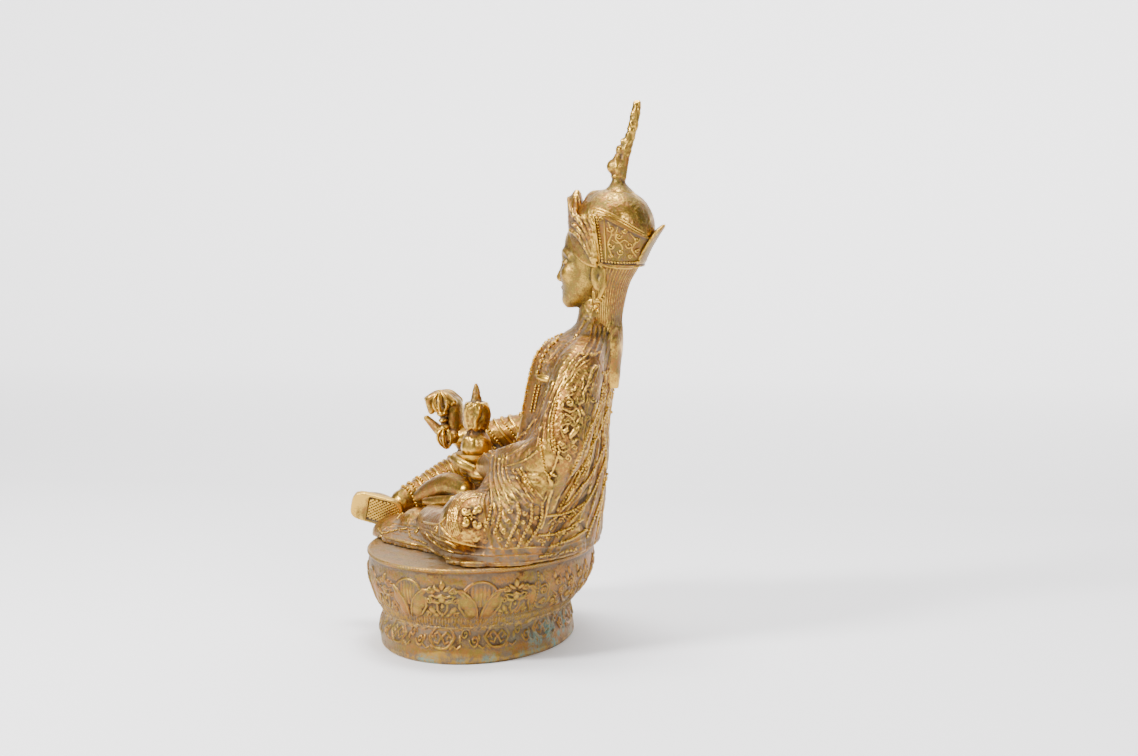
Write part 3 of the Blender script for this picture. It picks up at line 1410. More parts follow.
# Hands, boots and what the hands hold
BOWL_MIDDLE = np.array([6, 1.5, 97])
RIGHT_PALM = np.array([-45, -26, 116])
BOWL = [[0, -4.6], [5, -4], [9, -1], [11.6, 3], [12.4, 7], [11, 7.4], [0, 7]]
VASE = [
    [0, 4.6],
    [5.5, 4.8],
    [8.4, 8.4],
    [8.6, 12],
    [7.4, 16],
    [5.4, 18.8],
    [5.2, 20.2],
    [6.6, 22],
    [7.4, 25],
    [7.6, 29],
    [7.4, 33],
    [6.2, 36],
    [3.6, 36.4],
    [2.9, 38],
    [2.4, 40.6],
    [1.7, 43.6],
    [0.8, 46.2],
    [0, 47],
]
VASE_LINES = [
    ([(477.6, 405), (478.6, 413), (476, 421), (476, 430)], 3.4, 1.0),
    ([(471.6, 403.6), (466.4, 408), (465.2, 418), (467.6, 428)], 1.3, 0.9),
    ([(483, 404.6), (488.4, 409), (489.4, 419), (486.4, 428)], 1.3, 0.9),
    ([(467, 431), (472, 427), (476, 431), (481, 427.6), (486, 431.6)], 1.2, 0.9),
    ([(462.6, 441), (468, 437.6), (474, 440), (480, 437.6), (488, 441)], 1.2, 0.7),
]
BOLT_CORE = [
    [0, -17.6],
    [0.8, -16.6],
    [1.3, -13],
    [1.5, -8],
    [3, -5.4],
    [3.3, -3.6],
    [1.6, -1.9],
    [2.8, 0],
]
BOLT_PRONG = [(1.4, 5), (3.9, 7.4), (4.7, 10.6), (3.4, 14), (0.9, 16.8)]
BOLT_PRONGS = 6
HATCH_PITCH = 2.1
BOOT_MIDDLE = np.array([-15, -63.5, 67.5])
BOOT_TOE = np.array([0.12, -0.95, 0.24]) / np.linalg.norm([0.12, -0.95, 0.24])
SOLE_FACING = np.array([0.9, 0.04, -0.36])


def build_hands():
    left = Clay((-14, -16, 88), (34, 24, 112), 0.45)
    x, y, z = BOWL_MIDDLE
    left.add(pebble((x + 8, y + 7, z - 2), (11, 10, 5), (0, 10, 40)), 1)
    for k in range(4):
        points = [[x + 5 - k * 3, y + 6 - k * 3.4, z - 4.5, 2.6], [x - 5 - k, y - k * 3, z - 4, 2.6], [x - 11, y - 1 - k * 3, z, 2.3]]
        left.add(limb(points), 0.8)
    left.add(limb([[x + 14, y + 2, z, 2.8], [x + 13, y - 5, z + 3, 2.8], [x + 8, y - 11, z + 5, 2.4]]), 1)
    right = Clay((-60, -50, 94), (-30, -12, 140), 0.45)
    x, y, z = RIGHT_PALM
    right.add(pebble((x, y + 0.5, z - 1), (7.5, 5.5, 12), (8, 0, 0)), 1)
    right.add(pebble((x, y + 1.5, z + 6), (7.5, 4.6, 8)), 2)
    for k in range(4):
        row = x - 7.4 + k * 4.2
        curled = [[row, y - 13, z + 13, 2.4], [row, y - 12, z + 6, 2.1]]
        pointing = [[row, y - 10, z + 15.6, 2.3], [row, y - 16, z + 12.6, 1.7]]
        finger = [[row, y + 1, z + 11, 2.8], [row, y - 5, z + 15.4, 2.5], *(pointing if k == 2 else curled)]
        right.add(limb(finger), 0.8)
    right.add(limb([[x + 6, y + 1, z - 9, 4.2], [x + 6, y - 6, z - 6, 3.4], [x + 5, y - 15, z + 1.6, 1.8]]), 1.5)
    vessel = lathe(curve_through(BOWL, 3), 48, BOWL_MIDDLE)
    vase = draw_vase(lathe(curve_through(VASE, 4), 90, BOWL_MIDDLE, flute=vase_relief))
    pieces = [
        make_object(left.skin(), "left_hand", "figure", 16000),
        make_object(right.skin(), "right_hand", "figure", 24000),
        make_object(joined([vessel, vase, *thunderbolt()]), "bowl_vase_thunderbolt", "figure"),
    ]
    boots = Clay((-34, -84, 53), (24, 2, 96), 0.4)
    boots.add(limb([[14, -2, 84, 5.5], [2, -15, 85, 7], [-5, -27, 80.5, 6.5], [-9, -36, 76, 4]]), 1)
    boots.add(limb([[14, -10, 78, 3.4], [8, -20, 76, 3.8], [3, -29, 75.4, 2.2]]), 0.6)
    across = np.cross(SOLE_FACING, BOOT_TOE)
    across /= np.linalg.norm(across)
    facing = np.cross(BOOT_TOE, across)
    axes = np.stack([BOOT_TOE, across, facing], axis=1)

    def boot(x, y, z):
        px, py, pz = x - BOOT_MIDDLE[0], y - BOOT_MIDDLE[1], z - BOOT_MIDDLE[2]
        u, v, w = (px * axes[0, k] + py * axes[1, k] + pz * axes[2, k] for k in range(3))
        outline = (np.abs(u / 15.2) ** 4 + np.abs(v / 9.4) ** 4) ** 0.25
        hatched = ease(0.86 - outline, 0, 0.05) * ease(5.5 - u, 0, 1)
        face = 3.4 - 0.9 * hatched + 0.4 * ease(u, 5, 12)
        plate = np.maximum(np.maximum((outline - 1) * 9, w - face), -w)
        upper = (np.sqrt((u / 15) ** 2 + (v / 8.6) ** 2 + (w / 9) ** 2) - 1) * 8.6
        return np.minimum(plate, np.maximum(upper, w - 1))

    boots.add(Form([-34, -82, 53], [8, -44, 84], boot), 1)
    lines = []
    for k in range(-8, 9):
        for lean in SIDES:
            along = np.linspace(-13, 5, 37)
            over = lean * (along + 4) * 0.9 + HATCH_PITCH * k
            inside = np.abs(over) < 7.2
            flat = np.stack([along, over, np.full(37, 2.6)], axis=1)[inside]
            if len(flat) > 3:
                lines.append(tube(BOOT_MIDDLE + flat @ axes.T, 0.5, 6))
    pieces.append(make_object(boots.skin(), "boots", "figure", 26000))
    pieces.append(make_object(joined(lines), "boot_hatching", "figure"))
    for made in pieces:
        mark_hollows(made)
        mark_wear(made)
        made.data.materials.append(brass_finish("robe_finish"))


def thunderbolt():
    """A turned core with a lotus knob each way, and prongs that bow out and meet at both ends."""
    middle, turn = RIGHT_PALM + [8, -4, 1], (6, 4, 0)
    profile = [*BOLT_CORE, *([reach, -height] for reach, height in BOLT_CORE[-2::-1])]
    shells = [lathe(curve_through(profile, 4), 36, middle, turn)]
    for end in SIDES:
        for k in range(BOLT_PRONGS):
            angle = TAU * k / BOLT_PRONGS
            prong = [(reach * math.cos(angle), reach * math.sin(angle), end * height) for reach, height in BOLT_PRONG]
            line = curve_through(prong, 4) @ turn_matrix(turn).T + middle
            shells.append(tube(line, 1.0, 8, lambda share: 1.1 - 0.5 * share))
    return shells


def vase_relief(angle, height):
    """Upright lobes on the vase's belly, and leaves that stand round its top."""
    leaves = (1.2 * np.abs(np.cos(1.5 * angle + 0.5)) - 0.8) * bell(height, 31, 5)
    return (0.5 * np.abs(np.cos(4 * angle)) - 0.3) * bell(height, 11, 5) + leaves


def draw_vase(shell):
    """The vase's flame leaves and curls, as the photograph shows them, and its rough skin."""
    drawing = Drawing(shell)
    for line in VASE_LINES:
        drawing.line(*line)
    drawing.press()
    upper = ease(shell.points[:, 2], BOWL_MIDDLE[2] + 8, BOWL_MIDDLE[2] + 20)
    shell.press((0.1 + 0.22 * upper) * grain(shell.points, 1.4))
    return shell


# Plinth
RIM_HALF_WIDTH, _, PLINTH_HEIGHT = PLINTH_TOP
RIM_HALF_DEPTH = 63
CELLS = 12
PETAL_STRETCH = 0.076
REAR_BORDER = 1.36
CLOUD_WIDTH = 0.66
PLINTH_COLUMNS = 1300
PLINTH_STEP = 0.4
WAIST_LEVEL = 20.6
CAP_SHARES = (0.02, 0.04, 0.07, 0.1, 0.13, 0.16, 0.19, 0.22, 0.26, 0.3, 0.35, 0.4)
PLINTH_SIDE = [
    [0, -11.4, 1],
    [1.6, -10, 1],
    [7, -10, 0.3],
    [12, -10.8, 0],
    [18, -12, 0.5],
    [20, -11.4, 0.8],
    [24, -9, 1.4],
    [29, -5.4, 2.4],
    [35, -2.8, 3],
    [41, -1.2, 3.2],
    [46, -1.2, 3.3],
    [50, -1.6, 3.4],
    [50.9, -1.3, 3.5],
    [51.7, -0.2, 3.6],
    [52.6, 0, 3.6],
    [53.2, -0.3, 3.6],
    [PLINTH_HEIGHT, -1, 3.6],
]


def scallop(x, z):
    """A petal: a ribbed arch over two smooth lobes whose tips curl outwards."""
    inside_arch = np.hypot(x / 8.6, (z - 38.2) / 8.2)
    rim = np.sqrt(np.maximum(0, 1 - ((inside_arch - 1) * 8 / 0.9) ** 2)) * (z > 38)
    ribs = 0.35 + 0.5 * ridge(x / 2.05) * ease(1 - inside_arch, 0.0, 0.12)
    shell = ribs * (inside_arch < 1) * (z > 33)
    side = np.abs(x)
    lobe = stack(
        dab(side, z, (6.2, 35.4), (4.4, 5.2), -24),
        dab(side, z, (4.4, 30), (3.4, 4.8), -14),
        stroke(side, z, [(7.5, 38), (9.2, 40.4), (11, 42), (12, 41.2)], 1.3, 0.4),
    )
    lip = stroke(side, z, [(0.7, 26), (1.4, 31), (3.2, 36.2), (6, 39.6), (9.4, 42.2), (12, 42)], 0.75)
    outer = stroke(side, z, [(3.4, 25.4), (7.6, 28), (10.4, 32.6), (10.8, 37.4)], 0.7)
    vein = stroke(side, z, [(3.4, 27.5), (5.4, 31), (8.4, 34.4)], 0.5)
    return stack(0.75 * shell, 0.95 * rim, 1.25 * lobe, 1.35 * lip, 0.9 * outer, 1.15 * vein)


def foliage(x, z):
    """The leaf work between two petals: a flame, curls, a winged boss and small leaves."""
    side = np.abs(x)
    flame = stack(
        dab(side, z, (0, 44.6), (1.5, 2.4)),
        dab(side, z, (2.6, 42.8), (2.3, 1.2), 32),
        dab(side, z, (4.6, 41.2), (1.7, 1.1), -30),
    )
    curls = stack(
        stroke(side, z, spiral((6.3, 41.6), 2, 0.4, 1.2, 200, -1), 0.6),
        stroke(side, z, spiral((6.6, 36.4), 1.9, 0.4, 1.2, 120, 1), 0.6),
        stroke(side, z, [(0, 39.4), (2.4, 38.4), (4.6, 39.2), (6.4, 38.6)], 0.8, 0.3),
    )
    boss = stack(
        dab(side, z, (0, 37.2), (1.9, 2.2)),
        dab(side, z, (3.4, 35.8), (2.8, 1.3), 14),
        0.7 * stroke(side, z, [(2.6, 34.4), (2.4, 31), (1.2, 29)], 0.7),
        dab(side, z, (0, 33.2), (0.9, 1.3)),
    )
    leaves = stack(
        dab(side, z, (5.4, 30.6), (2.4, 1.5), 58),
        dab(side, z, (3.4, 28), (1.9, 1.1), 30),
        stroke(side, z, spiral((7.4, 28.2), 1.7, 0.4, 1.1, 60, 1), 0.55),
        dab(side, z, (0, 27.8), (1, 1.9)),
    )
    return stack(1.15 * flame, curls, 1.2 * boss, 0.95 * leaves)


def cloud_scroll(x, z):
    """The rear's leafy clouds, piled up in slanting tiers."""
    flames = stack(
        dab(x, z, (-3, 45.4), (1.3, 2.6), -24),
        dab(x, z, (-0.6, 42.6), (1.4, 2.8), -30),
        dab(x, z, (2.6, 41), (1.2, 2.4), -50),
    )
    curls = stack(
        stroke(x, z, spiral((-5, 38.4), 3.4, 0.4, 1.7, 40, 1), 0.62),
        stroke(x, z, spiral((3.2, 35.6), 3.0, 0.4, 1.6, 150, -1), 0.62),
        stroke(x, z, spiral((-6.8, 31.2), 2.4, 0.4, 1.4, 0, 1), 0.6),
        stroke(x, z, spiral((8.6, 41), 2.6, 0.4, 1.5, 210, -1), 0.6),
        stroke(x, z, spiral((9, 30.6), 2.3, 0.4, 1.3, 100, 1), 0.6),
    )
    stems = stack(
        stroke(x, z, [(-10, 27), (-4, 28.4), (0.6, 31.6), (3, 38.8), (6.4, 44.6)], 0.7, 0.4),
        stroke(x, z, [(-9.6, 35), (-8.8, 41), (-5.4, 44.6)], 0.6, 0.4),
        stroke(x, z, [(4.4, 27.2), (7.4, 34), (12, 36.4)], 0.6, 0.4),
    )
    leaves = stack(
        dab(x, z, (0.4, 27.4), (2.6, 1.2), 16),
        dab(x, z, (11.4, 45), (1.1, 2.1), -20),
        dab(x, z, (-11.4, 31.6), (1.1, 2.3), 20),
        dab(x, z, (6.4, 27.6), (2, 1), -20),
    )
    return stack(flames, 0.95 * curls, 0.85 * stems, 0.9 * leaves)


def medallion(x, z):
    """The lower band: a pinched lozenge round a bow of leaves, and leaves at its corners."""
    side, rise = np.abs(x), np.abs(z - 13.2)
    edge = (side / 8.2) ** 1.35 + (rise / 5.2) ** 1.35 + 0.1 * np.cos(4 * np.arctan2(z - 13.2, x))
    ring = np.sqrt(np.maximum(0, 1 - ((edge - 1) * 4 / 0.8) ** 2))
    bow = stack(
        dab(x, z, (0, 13.2), (1.3, 1.2)),
        stroke(side, z, [(0.6, 13.6), (2.6, 15.2), (4.8, 14.2), (3.4, 12.6)], 0.8, 0.3),
        stroke(side, z, [(0.6, 12.8), (2, 10.6), (4.4, 11.2)], 0.7, 0.4),
        dab(side, z, (5.6, 13.2), (1, 0.7)),
    )
    corner = dab(side, rise, (5.8, 4.4), (1.8, 0.8), -35)
    return stack(0.9 * ring, bow, 0.8 * corner)


def running_scroll(x, z):
    """The scroll between two medallions."""
    side = np.abs(x)
    return stack(
        stroke(x, z, spiral((-2.9, 14.6), 2.9, 0.5, 1.4, 0, 1), 0.6),
        stroke(x, z, spiral((2.9, 11.6), 2.9, 0.5, 1.4, 180, 1), 0.6),
        stroke(side, z, [(5, 16.4), (7, 17.6), (9.4, 17)], 0.6, 0.5),
        stroke(side, z, [(5.2, 9.6), (7.4, 8.4), (9, 9)], 0.6, 0.5),
        0.8 * dab(side, z, (0, 17.4), (1.8, 0.9)),
        0.8 * dab(side, z, (5.6, 12.8), (0.9, 1.5)),
    )


def around_the_rim(angles):
    """How far round the plinth each angle is, as a share of its whole way from the left side."""
    steps = np.linspace(-math.pi, 2 * math.pi, 4000)
    speed = np.hypot((RIM_HALF_WIDTH - 2) * np.sin(steps), (RIM_HALF_DEPTH - 2) * np.cos(steps))
    way = np.concatenate([[0], np.cumsum(0.5 * (speed[1:] + speed[:-1]) * np.diff(steps))])
    whole = np.interp(math.pi, steps, way) - np.interp(-math.pi, steps, way)
    start = np.interp(0, steps, way)
    return (np.interp(angles, steps, way) - start) / whole, whole


def plinth_relief(angles, level):
    """How far the plinth's ornament stands out, in millimetres, at angles from -180 to 180 degrees."""
    share, whole = around_the_rim(angles)
    pitch = whole / CELLS
    place = CELLS * share - PETAL_STRETCH * np.sin(2 * TAU * share)
    petals = scallop(pitch * (place - np.floor(place) - 0.5), level)
    leaves = foliage(pitch * (place - np.round(place)), level)
    tier = np.abs(place - CELLS / 4) / CLOUD_WIDTH
    rear = cloud_scroll((tier - np.floor(tier) - 0.5) * pitch * CLOUD_WIDTH, level)
    behind = tier * CLOUD_WIDTH < CELLS / 4 - REAR_BORDER
    upper = np.where(behind, rear, stack(petals, leaves))
    border = pitch * np.abs(tier * CLOUD_WIDTH - CELLS / 4 + REAR_BORDER)
    beads = np.sqrt(np.maximum(0, 1 - (border / 0.8) ** 2 - (((level / 1.7) % 1 - 0.5) * 1.9) ** 2))
    upper = np.where(level > 25, np.maximum(upper * ease(border, 1.0, 1.6), beads), upper)
    low_place = CELLS * share + PETAL_STRETCH * np.sin(2 * TAU * share)
    low_pitch = pitch * 0.88
    low_level = 13.2 + (level - 14.6) / 1.25
    ovals = medallion(low_pitch * (low_place - np.round(low_place)), low_level)
    scrolls = running_scroll(low_pitch * (low_place - np.floor(low_place) - 0.5), low_level)
    flutes = 0.9 * ridge(share * whole / 1.9) * bell(level, 23.4, 2.6)
    tall = length("petal_relief") * np.maximum(upper * ease(level, 21.8, 24), flutes) * (1 - ease(level, 48.2, 49.6))
    short = length("foot_relief") * stack(ovals, scrolls) * ease(level, 6.6, 7.6) * (1 - ease(level, 20, 20.6))
    twist = 0.3 * ridge(share * whole / 1.9 + level / 2.2) * ease(level, 51, 51.8) * (1 - ease(level, 53, 53.4))
    return tall + short - twist


def plinth_shell(low, high, tuck=0.0):
    """The plinth between two levels, closed flat at both, drawn in above its top by the tuck."""
    angles = (np.arange(PLINTH_COLUMNS) / PLINTH_COLUMNS - 0.5) * TAU
    levels = np.linspace(low, high, round((high - low) / PLINTH_STEP) + 1)
    side = softened(PLINTH_SIDE, 8)
    reach, set_back = (np.interp(levels, side[:, 0], side[:, k])[:, None] for k in (1, 2))
    x = (RIM_HALF_WIDTH + reach) * np.cos(angles)
    y = set_back + (RIM_HALF_DEPTH + reach) * np.sin(angles)
    rings = np.stack([x, y, np.broadcast_to(levels[:, None], x.shape)], axis=2)
    rows, columns = x.shape
    shell = Shell(rings.reshape(-1, 3), band_faces(rows, columns))
    relief = plinth_relief(angles[None, :], levels[:, None]).ravel()
    punched = length("punch_depth") * grain(shell.points, 0.8) * ease(shell.points[:, 2], 21, 24)
    shell.press(relief + punched * (1 - ease(relief, 0.1, 0.4)) * (1 - ease(shell.points[:, 2], 49.8, 50.6)))
    if tuck:
        above = shell.points[:, 2] > high - tuck
        shell.points[above, :2] *= 1 - tuck / 90
    ends = np.array([[0, set_back[0, 0], low], [0, set_back[-1, 0], high]])
    inner = [shell.points]
    for ring, end in ((shell.points[:columns], ends[0]), (shell.points[-columns:], ends[1])):
        for share in CAP_SHARES:
            flat = ring + (end - ring) * share
            flat[:, 2] += (end[2] > 50) * 0.22 * (grain(flat, 2.4) + 0.7 * grain(flat + 40, 6) - 0.8)
            inner.append(flat)
    count = len(shell.points)
    step = columns * len(CAP_SHARES)
    faces = [shell.faces]
    for first, start, flip in ((0, count, True), (count - columns, count + step, False)):
        row_starts = [first] + [start + columns * k for k in range(len(CAP_SHARES))]
        for low_row, high_row in zip(row_starts[:-1], row_starts[1:]):
            quads = band_faces(2, columns)
            quads = np.where(quads >= columns, quads - columns + high_row, quads + low_row)
            faces.append(quads[:, ::-1] if flip else quads)
    middle = count + 2 * step
    following = (np.arange(columns) + 1) % columns
    last_low, last_high = count + step - columns, count + 2 * step - columns
    fan_low = [[last_low + following[k], last_low + k, middle, middle] for k in range(columns)]
    fan_high = [[last_high + k, last_high + following[k], middle + 1, middle + 1] for k in range(columns)]
    return Shell(np.vstack([*inner, ends]), np.vstack([*faces, fan_low, fan_high]))


def build_plinth():
    foot = make_object(plinth_shell(0, WAIST_LEVEL + 0.6, 0.5), "plinth_foot", "plinth", 80000)
    petals = make_object(plinth_shell(WAIST_LEVEL, PLINTH_HEIGHT), "plinth_petals", "plinth", 160000)
    for made, dusty in ((foot, 0.42), (petals, 0.4)):
        mark_hollows(made)
        mark_wear(made, dusty, 0.55)
        made.data.materials.append(brass_finish("plinth_finish", 0.36, 0.25))


# Trim: what lies on the surfaces, placed where the photograph shows it
BEAD_ROWS = 4
BEAD_AROUND = 7
LINE_GAP = 0.8


class Ground:
    """The surfaces that trim lies on, and the photograph's view of them."""

    def __init__(self, names):
        bpy.context.view_layer.update()
        view = bpy.context.evaluated_depsgraph_get()
        self.trees = [BVHTree.FromObject(bpy.data.objects[name], view) for name in names]
        self.eye = Vector(CAMERA_PLACE) * MILLIMETRE
        self.right, self.up, self.forward = (Vector(axis) for axis in view_axes())

    def behind(self, pixel):
        """The point and normal seen at a pixel of the photograph, or None."""
        across = float(pixel[0] - PHOTO_SIZE[0] / 2) / FOCAL_PIXELS
        rise = float(PHOTO_SIZE[1] / 2 - pixel[1]) / FOCAL_PIXELS
        way = (self.forward + across * self.right + rise * self.up).normalized()
        return self.best([tree.ray_cast(self.eye, way) for tree in self.trees])

    def nearest(self, point, reach=8.0):
        """The surface's point and normal nearest to a point, or None."""
        target = Vector(point) * MILLIMETRE
        return self.best([tree.find_nearest(target, reach * MILLIMETRE) for tree in self.trees])

    def best(self, hits):
        hits = [hit for hit in hits if hit[0] is not None]
        if not hits:
            return None
        place, normal, _, _ = min(hits, key=lambda hit: hit[3])
        return np.array(place) / MILLIMETRE, np.array(normal)

    def seen_runs(self, pixels):
        """The lines on the surfaces that a curve through pixels draws. It breaks where the surface is hidden."""
        runs = [[]]
        for pixel in evenly(curve_through(pixels, 8), 1.0):
            found = self.behind(pixel)
            if found is None:
                runs.append([])
                continue
            if runs[-1] and np.linalg.norm(found[0] - runs[-1][-1]) > 3.5:
                runs.append([])
            runs[-1].append(found[0])
        return [evenly(np.array(run), LINE_GAP) for run in runs if len(run) > 2]


def ball_template():
    tilt = np.linspace(0, math.pi, BEAD_ROWS + 2)
    return lathe([[math.sin(t), -math.cos(t)] for t in tilt], BEAD_AROUND, (0, 0, 0))


class Trim:
    """Beads, wires, curls and leaves gathered for one piece."""

    def __init__(self, ground, both_sides=False):
        self.ground = ground
        self.both_sides = both_sides
        self.shells = []
        self.middles = []
        self.radii = []

    def copies(self, line):
        line = np.asarray(line, float)
        yield line
        if self.both_sides:
            yield line * [-1, 1, 1]

    def row(self, line, radius=None, pitch=None):
        """Beads along a line, of the panel's size where none is given."""
        radius = radius or length("bead_radius")
        pitch = pitch or length("bead_pitch")
        for path in self.copies(line):
            for point in evenly(path, pitch):
                found = self.ground.nearest(point)
                if found is not None:
                    self.middles.append(found[0] + found[1] * radius * 0.5)
                    self.radii.append(radius)

    def wire(self, line, radius=0.55, lift=0.1, slim=0.0):
        """A rounded wire along a line, thinner towards its ends by slim."""
        for path in self.copies(line):
            found = [self.ground.nearest(point) for point in evenly(path, LINE_GAP)]
            found = [place for place in found if place is not None]
            if len(found) > 3:
                points = np.array([place + normal * lift for place, normal in found])
                self.shells.append(tube(points, radius, 6, lambda share: 1 - slim * np.abs(2 * share - 1) ** 3))

    def leaf(self, point, way, half_length, half_width, height=0.9):
        """A rounded leaf or boss that lies along a direction."""
        for place, along in zip(self.copies(point), self.copies(way)):
            found = self.ground.nearest(place)
            if found is None:
                continue
            middle, normal = found
            along = along - normal * (along @ normal)
            along /= max(np.linalg.norm(along), 1e-9)
            axes = np.stack([along * half_length, np.cross(normal, along) * half_width, normal * height])
            ball = BALL
            self.shells.append(Shell(ball.points @ axes + middle, ball.faces))

    def laid(self, line, flat):
        """Places (along, across) in millimetres laid along a line on the surface."""
        line = evenly(line, LINE_GAP)
        found = [self.ground.nearest(point) for point in line]
        normals = np.array([(0, 0, 1) if place is None else place[1] for place in found])
        way = np.gradient(line, axis=0)
        way /= np.maximum(np.linalg.norm(way, axis=1, keepdims=True), 1e-9)
        side = np.cross(normals, way)
        station = np.concatenate([[0], np.cumsum(np.linalg.norm(np.diff(line, axis=0), axis=1))])
        flat = np.asarray(flat, float)
        place = np.stack([np.interp(flat[:, 0], station, line[:, k]) for k in range(3)], axis=1)
        across = np.stack([np.interp(flat[:, 0], station, side[:, k]) for k in range(3)], axis=1)
        return place + across * flat[:, 1:]

    def garland(self, line, width, radius=0.5, hand=1):
        """A wavy stem with a curl in each bend, filling a band of the given width."""
        length = np.sum(np.linalg.norm(np.diff(line, axis=0), axis=1))
        count = max(1, round(length / (0.9 * width)))
        pitch = length / count
        along = np.linspace(0, length, count * 8 + 1)
        stem = np.stack([along, 0.3 * width * hand * np.cos(np.pi * along / pitch)], axis=1)
        self.wire(self.laid(line, stem), radius)
        for k in range(count):
            side = hand * (1 if k % 2 else -1)
            curl = spiral(((k + 0.5) * pitch, -0.08 * side * width), 0.33 * width, 0.3, 1.3, 90 * side, side)
            self.wire(self.laid(line, curl), radius * 0.9)

    def seen_row(self, pixels, radius=None, pitch=None):
        for run in self.ground.seen_runs(pixels):
            self.row(run, radius, pitch)

    def seen_wire(self, pixels, radius=0.55, lift=0.1, slim=0.6):
        for run in self.ground.seen_runs(pixels):
            self.wire(run, radius, lift, slim)

    def seen_garland(self, pixels, width, radius=0.5, hand=1):
        for run in self.ground.seen_runs(pixels):
            if len(run) > 6:
                self.garland(run, width, radius, hand)

    def seen_leaf(self, start, end, half_width, height=0.9):
        """A leaf from one pixel to another."""
        first, last = self.ground.behind(start), self.ground.behind(end)
        if first is None or last is None:
            return
        way = last[0] - first[0]
        self.leaf((first[0] + last[0]) / 2, way, max(np.linalg.norm(way) / 2, half_width), half_width, height)

    def seen_curl(self, pixel, outer, turns=1.3, start=0.0, hand=1, radius=0.55):
        """A spiral at a pixel, with its outer radius in millimetres."""
        found = self.ground.behind(pixel)
        if found is None:
            return
        place, normal = found
        right, up = np.array(self.ground.right), np.array(self.ground.up)
        right = right - normal * (right @ normal)
        right /= np.linalg.norm(right)
        up = np.cross(normal, right)
        flat = spiral((0, 0), outer, 0.3, turns, start, hand)
        self.wire(place + flat[:, :1] * right + flat[:, 1:] * up, radius, 0.45 * radius, 0.3)

    def shell(self):
        if self.middles:
            ball = BALL
            points = np.array(self.middles)[:, None] + ball.points[None] * np.array(self.radii)[:, None, None]
            starts = np.arange(len(self.middles)) * len(ball.points)
            faces = ball.faces[None] + starts[:, None, None]
            self.shells.append(Shell(points.reshape(-1, 3), faces.reshape(-1, 4)))
        return joined(self.shells)


BALL = ball_template()

# Pixels of the photograph that rows of beads, ridges and curls pass through, from the top down
ROBE_ROWS = [
    [(557.5, 395), (555.6, 407.5), (553, 418.8), (552.5, 432.5), (553, 445), (554.6, 452)],
    [(540.6, 440), (541.5, 451), (543, 461), (545, 470), (549.5, 477.5)],
    [(554.6, 440), (556, 450)],
    [(518.6, 470), (524, 477), (528.6, 484), (532, 490)],
    [(536.5, 386), (534, 398), (531.5, 411)],
    [(540, 386), (537.6, 398), (535, 411)],
    [(490.7, 506.4), (489.3, 515.7), (486.4, 524.3), (484.3, 530)],
    [(500.4, 507), (499.9, 515.7), (497.9, 523.6), (495, 533)],
    [(518, 506.4), (518.6, 515), (515.7, 525.7), (512, 533), (506.4, 545.7)],
    [(531.8, 506), (531.4, 517), (529.3, 525), (524.3, 533.6), (518, 545.7)],
    [(542.2, 503), (541.4, 517), (538, 527), (532, 537), (526.4, 544.3)],
    [(547, 515.4), (560.8, 513.8), (574.6, 509), (586, 502)],
    [(538.5, 535), (553, 533.8), (568.5, 527.7), (582, 519)],
    [(551, 546), (571.5, 538.5), (586, 529.5)],
    [(597.5, 410), (591, 426), (584, 444), (578, 460), (571, 474)],
    [(607.5, 407.5), (602, 424), (594, 442), (586, 460), (577, 478), (567, 494)],
    [(604, 446), (597, 462), (588, 478), (577, 492), (563, 508)],
    [(605, 458), (599.5, 474), (592, 492), (582, 508), (570, 521)],
    [(606.5, 474), (603, 490), (597, 508), (591, 524), (587, 536)],
    [(602.5, 384), (601, 398), (597.5, 410)],
]
RIGHT_LEG_AXIS = [[*RIGHT_KNEE, 13.5], [-37, -31, 80, 10.5], [*RIGHT_ANKLE, 8]]
RIGHT_LEG_BANDS = [
    (0.2, 0.8, False),
    (0.27, 0.8, True),
    (0.34, 0.8, False),
    (0.41, 0.7, True),
    (0.46, 0.7, True),
    (0.53, 1.0, False),
    (0.6, 0.8, True),
    (0.66, 0.7, False),
    (0.73, 0.9, True),
    (0.79, 0.9, False),
    (0.87, 0.85, True),
    (0.94, 0.9, True),
]
RIGHT_ARM_BANDS = [
    (0.4, 0.8, True),
    (0.46, 0.8, False),
    (0.52, 0.8, True),
    (0.6, 1.0, False),
    (0.66, 0.8, True),
    (0.72, 0.8, False),
    (0.8, 0.85, True),
    (0.86, 0.85, True),
    (0.93, 0.9, False),
]


def build_trim():
    ground = Ground(["robe_skirt", "robe_cloak"])
    trim = Trim(ground)
    for pixels in ROBE_ROWS:
        trim.seen_row(pixels)
    chest_ornament(trim)
    seat_cloth(trim)
    far_side(trim)
    front_dress(trim)
    limb_bands(trim, RIGHT_LEG_AXIS, RIGHT_LEG_BANDS)
    limb_bands(trim, RIGHT_ARM[2:], RIGHT_ARM_BANDS, 0.7)
    finish_trim(trim, "robe_trim")
    hat = Trim(Ground(["hat_band", "hat_leaves", "hat_dome", "head", "hair"]), both_sides=True)
    hat_ornament(hat)
    finish_trim(hat, "hat_trim")


def finish_trim(trim, name):
    made = make_object(trim.shell(), name, "figure")
    mark_hollows(made)
    mark_wear(made, 0.28, 0.4)
    made.data.materials.append(brass_finish("trim_finish"))


